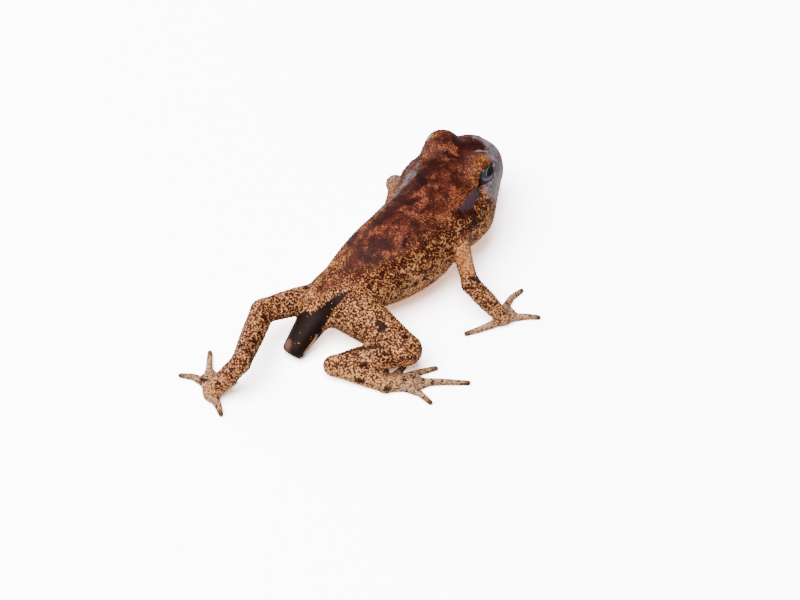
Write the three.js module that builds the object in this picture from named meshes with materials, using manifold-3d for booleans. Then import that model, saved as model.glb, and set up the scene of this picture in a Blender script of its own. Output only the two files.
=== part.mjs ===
// A froglet of the common frog, Rana temporaria, days after leaving the water: four legs, a wide
// head and the last stub of its tail. Millimetres, +Z up, heading +Y, the frog's right side on +X.
// It stands with the chest raised on its arms, the right hind leg folded and the left one trailing.
import * as THREE from "three";
import { mergeVertices } from "three/addons/utils/BufferGeometryUtils.js";
import Module from "manifold-3d";

const wasm = await Module();
wasm.setup();

// ---- driving dimensions ----------------------------------------------------------------------

const GAP = 0.05; // clear space where two pieces of the body meet
const FINEST = 0.01; // edges shorter than this are closed up
const REACH = 30; // half the side of the blocks that trim, larger than the frog

// Body outline at named places along the body, from the root of the tail to the snout.
// y: place, x: bow of the spine, half: half width, low: belly, wide: widest height, high: back
const BODY = [
  { y: -0.6, x: 0.2, half: 0.8, low: 0.95, wide: 1.7, high: 2.58 }, // root of the tail
  { y: 0.6, x: 0.38, half: 1.25, low: 0.7, wide: 1.8, high: 3.12 }, // rump
  { y: 2.0, x: 0.65, half: 1.75, low: 0.5, wide: 1.95, high: 3.95 }, // pelvis
  { y: 3.6, x: 0.95, half: 2.22, low: 0.4, wide: 2.1, high: 4.5 }, // sacral hump
  { y: 5.6, x: 1.12, half: 2.46, low: 0.45, wide: 2.25, high: 4.7 }, // belly
  { y: 7.4, x: 0.96, half: 2.5, low: 0.8, wide: 2.4, high: 4.75 }, // chest
  { y: 8.8, x: 0.6, half: 2.92, low: 1.15, wide: 2.2, high: 4.7 }, // neck
  { y: 10.0, x: 0.4, half: 2.93, low: 1.4, wide: 2.2, high: 4.55 }, // corner of the jaw
  { y: 11.5, x: 0.15, half: 2.28, low: 1.65, wide: 2.45, high: 4.3 }, // eyes
  { y: 12.8, x: -0.05, half: 1.76, low: 1.95, wide: 2.7, high: 4.0 }, // muzzle
  { y: 13.9, x: -0.12, half: 1.38, low: 2.3, wide: 2.9, high: 3.68 }, // snout
];
const SNOUT_ROUND = 1.25; // length over which the snout closes
const RUMP_ROUND = 0.7; // length over which the rump closes
const BODY_SQUARE = 0.9; // 1 gives elliptic sections, less gives squarer ones
const NECK = { y: 8.6, z: 2.9, lean: 10 }; // parting between head and trunk, degrees from upright

const EYE = { middle: 0.02, side: 1.5, y: 11.22, z: 3.84, radius: 0.8 }; // side: from the middle
const LID = { side: 1.35, y: 11.1, z: 3.96, long: 1.18, across: 0.95, tall: 0.87, turn: 18 };
const LID_EDGE = { out: 0.02, tilt: 26 }; // rim beyond the eye's middle, and its lean in degrees

const TAIL = { x: 0.14, y: 0.5, z: 2.0, heading: 175.2, pitch: -25, length: 3.55, radii: [1.0, 0.76, 0.5] };

// Bones: length, heading in degrees clockwise from +Y, pitch in degrees upward, and the radius of
// the flesh at the start, the middle and the end.
const ARMS = {
  right: {
    start: [3.1, 7.4, 2.7],
    upper_arm: { length: 2.8, heading: 125, pitch: -10, radii: [0.62, 0.46, 0.48] },
    forearm: { length: 2.65, heading: 72, pitch: -44, radii: [0.48, 0.54, 0.4] },
  },
  left: {
    start: [-1.2, 7.35, 2.8],
    upper_arm: { length: 2.95, heading: -44, pitch: -28, radii: [0.62, 0.46, 0.48] },
    forearm: { length: 2.8, heading: 34, pitch: -24, radii: [0.48, 0.54, 0.4] },
  },
};
const LEGS = {
  right: {
    start: [1.25, 0.6, 1.85],
    thigh: { length: 4.166, heading: 90.18, pitch: -4.98, radii: [1.35, 1.09, 0.84] },
    shank: { length: 3.9, heading: 223.5, pitch: -13, radii: [0.8, 0.74, 0.54] },
    tarsus: { length: 2.9, heading: 70, pitch: -5, radii: [0.54, 0.52, 0.46] },
  },
  left: {
    start: [-0.15, 1.0, 1.6],
    thigh: { length: 4.145, heading: 200.7, pitch: 8.2, radii: [0.64, 0.8, 0.64] },
    shank: { length: 3.6, heading: 155, pitch: -1.5, radii: [0.64, 0.62, 0.5] },
    tarsus: { length: 2.45, heading: 208.5, pitch: -46, radii: [0.52, 0.56, 0.44] },
  },
};

// Digits: heading of the straight run, its length from the wrist or the ball of the foot, and how
// far the tip turns from that heading, in degrees.
const DIGIT = { radius: 0.27, tip: 0.26, height: 0.24 };
const MIDDLE = { along: 0.35, sway: 0.3 }; // shares of a digit's length and of its curl
const KNUCKLE = 0.62; // share of a digit's length at which its tip turns aside
const FINGERS = {
  right: [
    { name: "finger_1", heading: -62, length: 1.6, curl: 0 },
    { name: "finger_2", heading: -25, length: 2.6, curl: 30 },
    { name: "finger_3", heading: 36, length: 2.05, curl: 15 },
    { name: "finger_4", heading: 203, length: 2.3, curl: 5 },
  ],
  left: [
    { name: "finger_1", heading: 78, length: 2.0, curl: 0 },
    { name: "finger_2", heading: 41, length: 3.0, curl: 0 },
    { name: "finger_3", heading: 2, length: 2.9, curl: 0 },
    { name: "finger_4", heading: -40, length: 2.1, curl: 0 },
  ],
};
const TOES = {
  right: [
    { name: "toe_1", heading: -38, length: 1.3, curl: 0 },
    { name: "toe_2", heading: -6, length: 1.9, curl: 0 },
    { name: "toe_3", heading: 20, length: 3.1, curl: 8 },
    { name: "toe_4", heading: 42, length: 4.5, curl: 8 },
    { name: "toe_5", heading: 62, length: 2.8, curl: 33 },
  ],
  left: [
    { name: "toe_1", heading: 112, length: 1.5, curl: 10 },
    { name: "toe_2", heading: 8, length: 1.7, curl: 0 },
    { name: "toe_3", heading: -20, length: 2.6, curl: 0 },
    { name: "toe_4", heading: -47, length: 3.1, curl: 5 },
    { name: "toe_5", heading: -80, length: 2.4, curl: -40 },
  ],
};
const SHORT_ROOT = 0.55; // most of a short digit that belongs to its palm or sole
const WEB_SPREAD = 100; // digits further apart than this, in degrees, have no web between them
const PALM = { reach: 0.95, web: 0.6, heel: 0.5, thick: 0.52 };
const SOLE = { reach: 1.75, web: 1.2, heel: 0.48, thick: 0.52 };

// Facets: how many go round, and how many rings along a piece of flesh.
const ROUND = { body: 24, tail: 16, limb: 10, digit: 8, heel: 20, eye: 14 };
const RINGS = { body: 34, limb: 6, digit: 5 };

// ---- shapes ----------------------------------------------------------------------------------

const radians = THREE.MathUtils.degToRad;

// Unit vector for a heading clockwise from +Y and a pitch upward, both in degrees.
function direction(heading, pitch = 0) {
  const level = Math.cos(radians(pitch));
  const turn = radians(heading);
  return new THREE.Vector3(Math.sin(turn) * level, Math.cos(turn) * level, Math.sin(radians(pitch)));
}

function toSolid(geometry) {
  const bare = geometry.clone();
  bare.deleteAttribute("normal");
  bare.deleteAttribute("uv");
  const closed = mergeVertices(bare, 1e-5);
  const vertProperties = new Float32Array(closed.attributes.position.array);
  const triVerts = new Uint32Array(closed.index.array);
  return new wasm.Manifold(new wasm.Mesh({ numProp: 3, vertProperties, triVerts }));
}

function toGeometry(solid) {
  const mesh = solid.getMesh();
  const geometry = new THREE.BufferGeometry();
  geometry.setAttribute("position", new THREE.BufferAttribute(new Float32Array(mesh.vertProperties), 3));
  geometry.setIndex(new THREE.BufferAttribute(new Uint32Array(mesh.triVerts), 1));
  geometry.computeVertexNormals();
  return geometry;
}

// The half of a solid on the far side of a plane, in the direction of its normal.
function beyond(solid, point, normal) {
  const block = new THREE.BoxGeometry(2 * REACH, 2 * REACH, 2 * REACH);
  block.translate(0, 0, REACH);
  block.applyQuaternion(new THREE.Quaternion().setFromUnitVectors(new THREE.Vector3(0, 0, 1), normal));
  block.translate(point.x, point.y, point.z);
  return solid.intersect(toSolid(block));
}

// Parts two solids with a thin cut on a plane: one keeps the near side, the other the far side.
function part(near, far, point, normal) {
  const half = normal.clone().multiplyScalar(GAP / 2);
  return [
    beyond(near, point.clone().sub(half), normal.clone().negate()),
    beyond(far, point.clone().add(half), normal),
  ];
}

// Value of one column of the body outline at y, on a smooth curve through the named places.
function outline(column, y) {
  const last = BODY.length - 1;
  const slope = (i) => {
    const before = BODY[Math.max(i - 1, 0)];
    const after = BODY[Math.min(i + 1, last)];
    return (after[column] - before[column]) / (after.y - before.y);
  };
  let i = 0;
  while (i < last - 1 && y > BODY[i + 1].y) i += 1;
  const span = BODY[i + 1].y - BODY[i].y;
  const t = (y - BODY[i].y) / span;
  const rise = (1 + 2 * t) * (1 - t) * (1 - t) * BODY[i][column] + t * t * (3 - 2 * t) * BODY[i + 1][column];
  return rise + span * t * (1 - t) * ((1 - t) * slope(i) - t * slope(i + 1));
}

// Fraction of full size at a distance from a rounded end.
function closing(distance, round) {
  const along = Math.min(distance / round, 1);
  return Math.sqrt(Math.max(0, 1 - (1 - along) ** 2));
}

// Head and trunk in one: a sphere whose rings are laid on the body outline.
function bodySolid(grow = 0) {
  const shape = new THREE.SphereGeometry(1, ROUND.body, RINGS.body);
  const place = shape.attributes.position;
  const rear = BODY[0].y - RUMP_ROUND / 2 - grow;
  const front = BODY.at(-1).y + grow;
  for (let i = 0; i < place.count; i += 1) {
    const aft = Math.acos(THREE.MathUtils.clamp(place.getY(i), -1, 1));
    const y = rear + ((front - rear) * (1 + Math.cos(aft))) / 2;
    const ring = Math.max(Math.sin(aft), 1e-9);
    const across = place.getX(i) / ring;
    const upward = place.getZ(i) / ring;
    const size = Math.min(closing(front - y, SNOUT_ROUND), closing(y - rear, RUMP_ROUND));
    const wide = outline("wide", y);
    const tall = upward > 0 ? outline("high", y) - wide : wide - outline("low", y);
    const x = Math.sign(across) * Math.abs(across) ** BODY_SQUARE * (outline("half", y) + grow);
    const z = Math.sign(upward) * Math.abs(upward) ** BODY_SQUARE * (tall + grow);
    place.setXYZ(i, outline("x", y) + x * size, y, wide + z * size);
  }
  return toSolid(shape);
}

function ellipsoid(centre, size, sides, turn = 0) {
  const shape = new THREE.SphereGeometry(1, sides, Math.round(sides * 0.7));
  shape.scale(size.x, size.y, size.z);
  shape.rotateZ(radians(turn));
  shape.translate(centre.x, centre.y, centre.z);
  return toSolid(shape);
}

// Flesh along a curve: a lathed bar with round ends, bent onto the curve. radii are the radius at
// the start, the middle and the end.
function flesh(curve, radii, { sides = ROUND.limb, rings = RINGS.limb, grow = 0 } = {}) {
  const length = curve.getLength();
  const radius = (t) =>
    radii[0] * (1 - t) * (1 - 2 * t) + radii[1] * 4 * t * (1 - t) + radii[2] * t * (2 * t - 1) + grow;
  const profile = [new THREE.Vector2(0, -radius(0))];
  const capSteps = 3;
  for (let i = 1; i < capSteps; i += 1) {
    const turn = (i * Math.PI) / 2 / capSteps;
    profile.push(new THREE.Vector2(radius(0) * Math.sin(turn), -radius(0) * Math.cos(turn)));
  }
  for (let i = 0; i <= rings; i += 1) {
    profile.push(new THREE.Vector2(radius(i / rings), (length * i) / rings));
  }
  for (let i = capSteps - 1; i > 0; i -= 1) {
    const turn = (i * Math.PI) / 2 / capSteps;
    profile.push(new THREE.Vector2(radius(1) * Math.sin(turn), length + radius(1) * Math.cos(turn)));
  }
  profile.push(new THREE.Vector2(0, length + radius(1)));
  const shape = new THREE.LatheGeometry(profile, sides);
  const place = shape.attributes.position;
  const up = new THREE.Vector3(0, 0, 1);
  for (let i = 0; i < place.count; i += 1) {
    const along = place.getY(i);
    const t = THREE.MathUtils.clamp(along / length, 0, 1);
    const tangent = curve.getTangentAt(t);
    const side = new THREE.Vector3().crossVectors(tangent, up).normalize();
    const top = new THREE.Vector3().crossVectors(side, tangent);
    const at = curve.getPointAt(t).addScaledVector(tangent, along - t * length);
    at.addScaledVector(side, place.getX(i)).addScaledVector(top, place.getZ(i));
    place.setXYZ(i, at.x, at.y, at.z);
  }
  return toSolid(shape);
}

// The largest body of a solid, where a cut leaves a crumb behind.
function largest(solid) {
  const pieces = solid.decompose();
  return pieces.reduce((best, piece) => (piece.volume() > best.volume() ? piece : best));
}

// ---- the frog --------------------------------------------------------------------------------

const frog = new THREE.Group();

const FINISH = {
  back: { color: 0x5b2f1e, roughness: 0.42, metalness: 0 },
  leg: { color: 0xa9764b, roughness: 0.5, metalness: 0 },
  digit: { color: 0xb98f72, roughness: 0.5, metalness: 0 },
  tail: { color: 0x2a1a18, roughness: 0.45, metalness: 0 },
  eye: { color: 0x101014, roughness: 0.08, metalness: 0 },
};

const floor = new THREE.Vector3(0, 0, 0);
const upward = new THREE.Vector3(0, 0, 1);

function add(name, solid, finish) {
  const standing = largest(beyond(solid, floor, upward)).simplify(FINEST);
  const mesh = new THREE.Mesh(toGeometry(standing), new THREE.MeshStandardMaterial(FINISH[finish]));
  mesh.name = name;
  frog.add(mesh);
}

function makeHeadAndTrunk() {
  const whole = bodySolid();
  const cut = direction(0, NECK.lean);
  let [trunk, head] = part(whole, whole, new THREE.Vector3(0, NECK.y, NECK.z), cut);
  for (const side of [-1, 1]) {
    const at = new THREE.Vector3(EYE.middle + side * EYE.side, EYE.y, EYE.z);
    const lidAt = new THREE.Vector3(EYE.middle + side * LID.side, LID.y, LID.z);
    const lidSize = new THREE.Vector3(LID.across, LID.long, LID.tall);
    const lid = ellipsoid(lidAt, lidSize, ROUND.eye, side * LID.turn);
    const inward = -side * (90 + LID.turn);
    const rim = at.clone().addScaledVector(direction(inward), -LID_EDGE.out);
    head = head.add(beyond(lid, rim, direction(inward, LID_EDGE.tilt)));
    const socket = EYE.radius + GAP;
    head = head.subtract(ellipsoid(at, new THREE.Vector3(socket, socket, socket), ROUND.eye));
    const ball = ellipsoid(at, new THREE.Vector3(EYE.radius, EYE.radius, EYE.radius), ROUND.eye);
    add(side < 0 ? "eye_left" : "eye_right", ball, "eye");
  }
  add("head", head, "back");
  add("trunk", trunk, "back");
}

function bone(start, { length, heading, pitch }) {
  const end = start.clone().addScaledVector(direction(heading, pitch), length);
  return new THREE.LineCurve3(start.clone(), end);
}

// Distance from the joint at which a digit parts from its palm or sole.
function rootReach({ length }, reach) {
  return Math.min(reach, length * SHORT_ROOT);
}

// A palm or a sole: a round heel with a bar to the root of each digit and webs between the bars.
function fan(joint, digits, { reach, web, heel, thick }, grow = 0) {
  const tall = thick + 2 * grow;
  const half = DIGIT.radius + grow;
  const disc = new THREE.CylinderGeometry(heel + grow, heel + grow, tall, ROUND.heel);
  disc.rotateX(Math.PI / 2);
  disc.translate(joint.x, joint.y, thick / 2);
  let plate = toSolid(disc);
  const roots = digits.map((digit) => {
    const out = rootReach(digit, reach);
    const bar = new THREE.BoxGeometry(2 * half, out + grow, tall);
    bar.translate(0, (out + grow) / 2, 0);
    bar.rotateZ(-radians(digit.heading));
    bar.translate(joint.x, joint.y, thick / 2);
    plate = plate.add(toSolid(bar));
    const end = direction(digit.heading).multiplyScalar(out).add(joint);
    return { heading: digit.heading, end };
  });
  const ordered = roots.sort((a, b) => a.heading - b.heading);
  for (let i = 0; i + 1 < ordered.length; i += 1) {
    const spread = ordered[i + 1].heading - ordered[i].heading;
    if (spread > WEB_SPREAD) continue;
    const notch = direction(ordered[i].heading + spread / 2).multiplyScalar(web + grow).add(joint);
    const corners = [joint, ordered[i + 1].end, notch, ordered[i].end];
    const membrane = new THREE.ExtrudeGeometry(
      new THREE.Shape(corners.map(({ x, y }) => new THREE.Vector2(x, y))),
      { depth: tall, bevelEnabled: false },
    );
    membrane.translate(0, 0, -grow);
    plate = plate.add(toSolid(membrane));
  }
  return plate;
}

// A finger or toe: along the floor from the joint, with the last third turned aside.
function digitSolid(joint, digit, reach) {
  const { heading, length, curl } = digit;
  const from = new THREE.Vector3(joint.x, joint.y, DIGIT.height);
  const knuckle = from.clone().addScaledVector(direction(heading), length * KNUCKLE);
  const last = length * (1 - KNUCKLE) - DIGIT.tip;
  const tip = knuckle.clone().addScaledVector(direction(heading + curl), last);
  const sway = direction(heading - curl * MIDDLE.sway);
  const middle = from.clone().addScaledVector(sway, length * MIDDLE.along);
  const curve = new THREE.CatmullRomCurve3([from, middle, knuckle, tip]);
  const radii = [DIGIT.radius, DIGIT.radius, DIGIT.tip];
  const whole = flesh(curve, radii, { sides: ROUND.digit, rings: RINGS.digit });
  const root = from.clone().addScaledVector(direction(heading), rootReach(digit, reach) + GAP);
  return beyond(whole, root, direction(heading));
}

// One arm or leg: its bones in a chain, a fan at the end and the digits on it.
function makeLimb(side, { start, ...bones }, digits, plate, fanName) {
  const suffix = `_${side}`;
  const names = Object.keys(bones);
  const curves = [];
  let joint = new THREE.Vector3(...start);
  for (const name of names) {
    const curve = bone(joint, bones[name]);
    curves.push(curve);
    joint = curve.v2.clone();
  }
  const solids = names.map((name, i) => flesh(curves[i], bones[name].radii));
  solids[0] = solids[0].subtract(bodySolid(GAP)).subtract(tailSolid(GAP));
  for (let i = 1; i < solids.length; i += 1) {
    const before = curves[i - 1].getTangentAt(1);
    const after = curves[i].getTangentAt(0);
    const mitre = before.add(after).normalize();
    [solids[i - 1], solids[i]] = part(solids[i - 1], solids[i], curves[i].v1, mitre);
  }
  const last = solids.length - 1;
  solids[last] = solids[last].subtract(fan(joint, digits, plate, GAP));
  names.forEach((name, i) => add(name + suffix, solids[i], "leg"));
  add(fanName + suffix, fan(joint, digits, plate), "digit");
  for (const digit of digits) {
    add(digit.name + suffix, digitSolid(joint, digit, plate.reach), "digit");
  }
}

function tailSolid(grow = 0) {
  const start = new THREE.Vector3(TAIL.x, TAIL.y, TAIL.z);
  return flesh(bone(start, TAIL), TAIL.radii, { sides: ROUND.tail, grow });
}

makeHeadAndTrunk();
for (const side of ["right", "left"]) {
  makeLimb(side, ARMS[side], FINGERS[side], PALM, "hand");
  makeLimb(side, LEGS[side], TOES[side], SOLE, "foot");
}
add("tail_stub", tailSolid().subtract(bodySolid(GAP)), "tail");

// The origin is on the floor, at the middle of the frog's extent in X and Y.
const extent = new THREE.Box3().setFromObject(frog);
const centre = extent.getCenter(new THREE.Vector3());
frog.position.set(-centre.x, -centre.y, -extent.min.z);

export default frog;
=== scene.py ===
"""A froglet of the common frog, days out of the water, as a still model.

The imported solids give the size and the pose. One moist skin is grown over all of the flesh, granules
are strewn over it, and two glossy eyes sit in their lids.
"""

import itertools
import math

import bmesh
import bpy
import numpy as np
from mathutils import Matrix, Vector


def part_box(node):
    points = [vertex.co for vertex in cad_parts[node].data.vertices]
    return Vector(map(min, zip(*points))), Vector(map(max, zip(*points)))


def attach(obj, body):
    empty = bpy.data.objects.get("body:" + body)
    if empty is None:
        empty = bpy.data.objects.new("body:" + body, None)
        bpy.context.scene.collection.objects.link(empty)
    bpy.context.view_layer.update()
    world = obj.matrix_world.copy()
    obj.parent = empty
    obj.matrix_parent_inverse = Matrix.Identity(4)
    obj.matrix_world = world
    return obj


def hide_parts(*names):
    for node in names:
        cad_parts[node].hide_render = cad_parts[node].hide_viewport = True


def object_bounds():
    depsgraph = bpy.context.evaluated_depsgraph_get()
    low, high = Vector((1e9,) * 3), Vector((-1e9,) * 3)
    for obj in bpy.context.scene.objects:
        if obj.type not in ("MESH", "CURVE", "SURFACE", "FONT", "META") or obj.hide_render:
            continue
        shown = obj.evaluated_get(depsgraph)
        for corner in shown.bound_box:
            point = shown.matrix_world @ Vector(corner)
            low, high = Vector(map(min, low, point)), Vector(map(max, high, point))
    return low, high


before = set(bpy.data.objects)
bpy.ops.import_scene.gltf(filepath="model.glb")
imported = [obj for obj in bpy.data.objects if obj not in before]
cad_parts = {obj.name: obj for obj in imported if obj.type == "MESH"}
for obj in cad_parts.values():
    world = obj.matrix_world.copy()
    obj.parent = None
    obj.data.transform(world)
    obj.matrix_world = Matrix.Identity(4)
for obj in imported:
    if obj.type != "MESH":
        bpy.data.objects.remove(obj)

CAD_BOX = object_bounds()

bl_info = {
    "name": "Common Froglet",
    "version": (1, 0, 0),
    "blender": (4, 5, 0),
    "location": "View3D > Sidebar > Froglet",
    "description": "Skin, granules, eyes and studio for a still common froglet",
    "category": "Object",
}

MM = 0.001


def tint(code):
    """Linear colour of a six figure hex code."""
    parts = [int(code[i : i + 2], 16) / 255 for i in (0, 2, 4)]
    return tuple(c / 12.92 if c <= 0.04045 else ((c + 0.055) / 1.055) ** 2.4 for c in parts)


# ---- the frog's measures, in millimetres --------------------------------------------------------

# Body outline from the root of the tail to the snout:
# place along the body, bow of the spine, half width, belly, widest height, back.
BODY = np.array(
    [
        (-0.6, 0.2, 0.8, 0.95, 1.7, 2.58),
        (0.6, 0.38, 1.25, 0.7, 1.8, 3.12),
        (2.0, 0.65, 1.75, 0.5, 1.95, 3.95),
        (3.6, 0.95, 2.22, 0.4, 2.1, 4.5),
        (5.6, 1.12, 2.46, 0.45, 2.25, 4.7),
        (7.4, 0.96, 2.5, 0.8, 2.4, 4.75),
        (8.8, 0.6, 2.92, 1.15, 2.2, 4.7),
        (10.0, 0.4, 2.93, 1.4, 2.2, 4.55),
        (11.5, 0.15, 2.28, 1.65, 2.45, 4.3),
        (12.8, -0.05, 1.76, 1.95, 2.7, 4.0),
        (13.9, -0.12, 1.38, 2.3, 2.9, 3.68),
    ]
)
SNOUT_ROUND = 1.25
RUMP_ROUND = 1.1
BODY_POWER = 2 / 0.9
REAR = BODY[0, 0]
FRONT = BODY[-1, 0]

EYE_MIDDLE = 0.02
EYE_SIDE = 1.5
EYE_PLACE = (11.22, 3.84)
EYE_RADIUS = 0.8
LID = {"side": 1.3, "y": 11.05, "z": 3.93, "size": (0.98, 1.25, 0.9), "turn": 18, "thick": 0.06}
OPENING = {
    "axes": [(0.754, -0.355, 0.553), (-0.048, 0.81, 0.585), (-0.655, -0.467, 0.594)],
    "long": 63,
    "short": 27,
    "narrowest": 0.02,
    "front": 0.1,
}
EYE_RIM = (0.05, 0.1)

TAIL_START = (0.14, 0.5, 2.0)
TAIL_RUN = (3.6, 175.2, -25)
TAIL_RADII = (0.92, 0.66, 0.42)
TAIL_SPREAD = 0.17
TAIL_LOBES = {1: 0.2, -1: 0.1}
TAIL_BLUNT = 0.55
TAIL_KEEL = [(1.15, 0.4, 2.7), (0.9, -0.3, 2.0), (0.72, -1.1, 1.45), (0.6, -1.9, 1.0)]
TAIL_KEEL_RADII = [0.06, 0.16, 0.22, 0.2]

# Bones: length, heading clockwise from +Y, pitch, and the flesh's radius at start, middle and end.
LIMBS = {
    "arm_right": {
        "start": (3.1, 7.4, 2.7),
        "bones": [
            (2.8, 125, -10, (0.62, 0.46, 0.46)),
            (2.65, 72, -44, (0.46, 0.5, 0.34)),
        ],
        "digits": [(-62, 1.6, 0), (-25, 2.6, 30), (36, 2.05, 15), (203, 2.3, 5)],
    },
    "arm_left": {
        "start": (-1.2, 7.35, 2.8),
        "bones": [
            (2.95, -44, -28, (0.62, 0.46, 0.46)),
            (2.8, 34, -24, (0.46, 0.5, 0.34)),
        ],
        "digits": [(78, 2.0, 0), (41, 3.0, 0), (2, 2.9, 0), (-40, 2.1, 0)],
    },
    "leg_right": {
        "start": (1.25, 0.6, 1.85),
        "bones": [
            (4.166, 90.18, -4.98, (1.35, 1.09, 0.82)),
            (3.9, 223.5, -13, (0.78, 0.74, 0.5)),
            (2.9, 70, -5, (0.5, 0.48, 0.42)),
        ],
        "digits": [(-38, 1.3, 0), (-6, 1.9, 0), (20, 3.1, 8), (42, 4.5, 8), (62, 2.8, 33)],
    },
    "leg_left": {
        "start": (-0.15, 1.0, 1.6),
        "bones": [
            (4.145, 200.7, 8.2, (0.6, 0.74, 0.61)),
            (3.6, 155, -1.5, (0.62, 0.62, 0.48)),
            (2.45, 208.5, -46, (0.5, 0.52, 0.4)),
        ],
        "digits": [(112, 1.5, 10), (8, 1.7, 0), (-20, 2.6, 0), (-47, 3.1, 5), (-80, 2.4, -40)],
    },
}
WRIST_HEIGHT = 0.3
FINGER_RADII = (0.27, 0.2, 0.165, 0.13)
TOE_RADII = (0.34, 0.235, 0.18, 0.13)
DIGIT_SHARES = (0.36, 0.66, 0.34)
DIGIT_BEND = 0.3
WEB_SHARE = {"arm": 0.42, "leg": 0.728}
WEB_HALF = 0.085
WEB_LIFT = 0.02
WEB_SPREAD = 100
FLOOR_SINK = 0.02


def unit(heading, pitch=0.0):
    """Direction for a heading clockwise from +Y and a pitch upward, in degrees."""
    h, p = math.radians(heading), math.radians(pitch)
    return np.array([math.sin(h) * math.cos(p), math.cos(h) * math.cos(p), math.sin(p)])


def node_centre(name):
    low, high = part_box(name)
    return (np.array(low) + np.array(high)) / 2


# From the frog's own measures to the model's frame.
SHIFT = node_centre("eye_right") / MM - np.array([EYE_MIDDLE + EYE_SIDE, *EYE_PLACE])


def smooth(value, low, high):
    """0 below low, 1 above high, with a soft step between."""
    t = np.clip((value - low) / (high - low), 0, 1)
    return t * t * (3 - 2 * t)


def soft_min(a, b, blend):
    step = np.maximum(blend - np.abs(a - b), 0) / blend
    return np.minimum(a, b) - step * step * blend / 4


def ridge(gap, height, width):
    """A soft rise along the place where gap is 0."""
    return height * np.exp(-((gap / width) ** 2))


# ---- distances to the parts of the frog ---------------------------------------------------------

TINY = 1e-6
SLOPE_REACH = 0.02
LEAST_SIZE = 0.02
LEAST_SLOPE = 0.05
RUMP_FROM = 2
BONE_STEPS = 5


def outline(y):
    """Bow, half width, belly, widest height and back of the body at each y."""
    knots, rows = BODY[:, 0], BODY[:, 1:]
    last = len(knots) - 1
    after = np.minimum(np.arange(last + 1) + 1, last)
    before = np.maximum(np.arange(last + 1) - 1, 0)
    slopes = (rows[after] - rows[before]) / (knots[after] - knots[before])[:, None]
    i = np.clip(np.searchsorted(knots, y, side="left") - 1, 0, last - 1)
    span = knots[i + 1] - knots[i]
    t = ((y - knots[i]) / span)[:, None]
    rise = (1 + 2 * t) * (1 - t) ** 2 * rows[i] + t * t * (3 - 2 * t) * rows[i + 1]
    bend = (1 - t) * slopes[i] - t * slopes[i + 1]
    return (rise + span[:, None] * t * (1 - t) * bend).T


def closing(distance, length):
    along = np.clip(distance / length, 0, 1)
    return np.sqrt(1 - (1 - along) ** 2)


def section(p):
    """Place of each point in the body's cross section: across, upward, and the half sizes there."""
    y = p[:, 1]
    bow, half, low, wide, high = outline(np.clip(y, REAR, FRONT))
    size = np.minimum(closing(FRONT - y, SNOUT_ROUND), closing(y - REAR, RUMP_ROUND))
    size = np.maximum(size, LEAST_SIZE)
    upward = p[:, 2] - wide
    tall = np.where(upward > 0, high - wide, wide - low)
    return p[:, 0] - bow, upward, half * size, tall * size


def girth(p):
    """Angle round the body in degrees: 90 on the spine, 0 at the side, -90 under the belly."""
    across, upward, half, tall = section(p)
    return np.degrees(np.arctan2(upward / tall, np.abs(across) / half))


def body_level(p):
    across, upward, half, tall = section(p)
    a, b = np.abs(across) / half, np.abs(upward) / tall
    level = (a**BODY_POWER + b**BODY_POWER) ** (1 / BODY_POWER)
    safe = np.maximum(level, TINY)
    slope_x = (a / safe) ** (BODY_POWER - 1) / half
    slope_z = (b / safe) ** (BODY_POWER - 1) / tall
    return level - 1, slope_x, slope_z


def body_distance(p):
    level, slope_x, slope_z = body_level(p)
    step = np.array([0, SLOPE_REACH, 0])
    slope_y = (body_level(p + step)[0] - body_level(p - step)[0]) / (2 * SLOPE_REACH)
    flat = slope_x**2 + slope_z**2
    along = np.where(p[:, 1] < RUMP_FROM, np.minimum(slope_y**2, flat), slope_y**2)
    distance = level / np.sqrt(flat + along + TINY)
    bow, half, low, _, high = outline(np.clip(p[:, 1], REAR, FRONT))
    sideways = np.abs(p[:, 0] - bow) - half
    upward = np.maximum(p[:, 2] - high, low - p[:, 2])
    beyond = np.maximum(p[:, 1] - FRONT, REAR - p[:, 1])
    outside = np.linalg.norm(np.maximum([sideways, upward, beyond], 0), axis=0)
    return np.where(outside > 0, np.maximum(distance, outside), distance)


def tube_distance(p, path, radii):
    """Distance to flesh along a path of straight runs, with the radius given at each bend."""
    best = np.full(len(p), np.inf)
    for a, b, start, end in zip(path, path[1:], radii, radii[1:]):
        run = b - a
        t = np.clip((p - a) @ run / (run @ run), 0, 1)
        gap = np.linalg.norm(p - a - t[:, None] * run, axis=1)
        best = np.minimum(best, gap - start - (end - start) * t)
    return best


def line_distance(p, path):
    return tube_distance(p, path, [0] * len(path))


def oval_distance(p, centre, size, turn):
    h = math.radians(turn)
    q = p - centre
    x = q[:, 0] * math.cos(h) + q[:, 1] * math.sin(h)
    y = -q[:, 0] * math.sin(h) + q[:, 1] * math.cos(h)
    q = np.stack([x, y, q[:, 2]], 1)
    size = np.array(size)
    near = np.linalg.norm(q / size, axis=1)
    steep = np.linalg.norm(q / size**2, axis=1)
    return near * (near - 1) / np.maximum(steep, TINY)


def flesh_radii(radii):
    """Radii at even steps along a bone whose start, middle and end radius are given."""
    t = np.linspace(0, 1, BONE_STEPS)
    a, b, c = radii
    return a * (1 - t) * (1 - 2 * t) + b * 4 * t * (1 - t) + c * t * (2 * t - 1)


def straight(a, b):
    return a + (b - a) * np.linspace(0, 1, BONE_STEPS)[:, None]


def digit_path(joint, heading, length, curl, radii):
    """A digit along the floor from its wrist or ankle, the last third turned aside."""
    first, second, third = DIGIT_SHARES
    knuckle = joint + unit(heading - curl * DIGIT_BEND) * length * first
    bend = joint + unit(heading) * length * second
    tip = bend + unit(heading + curl) * (length * third - radii[-1])
    points = np.array([joint, knuckle, bend, tip])
    points[1:, 2] = np.array(radii[1:]) - FLOOR_SINK
    return points


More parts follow.
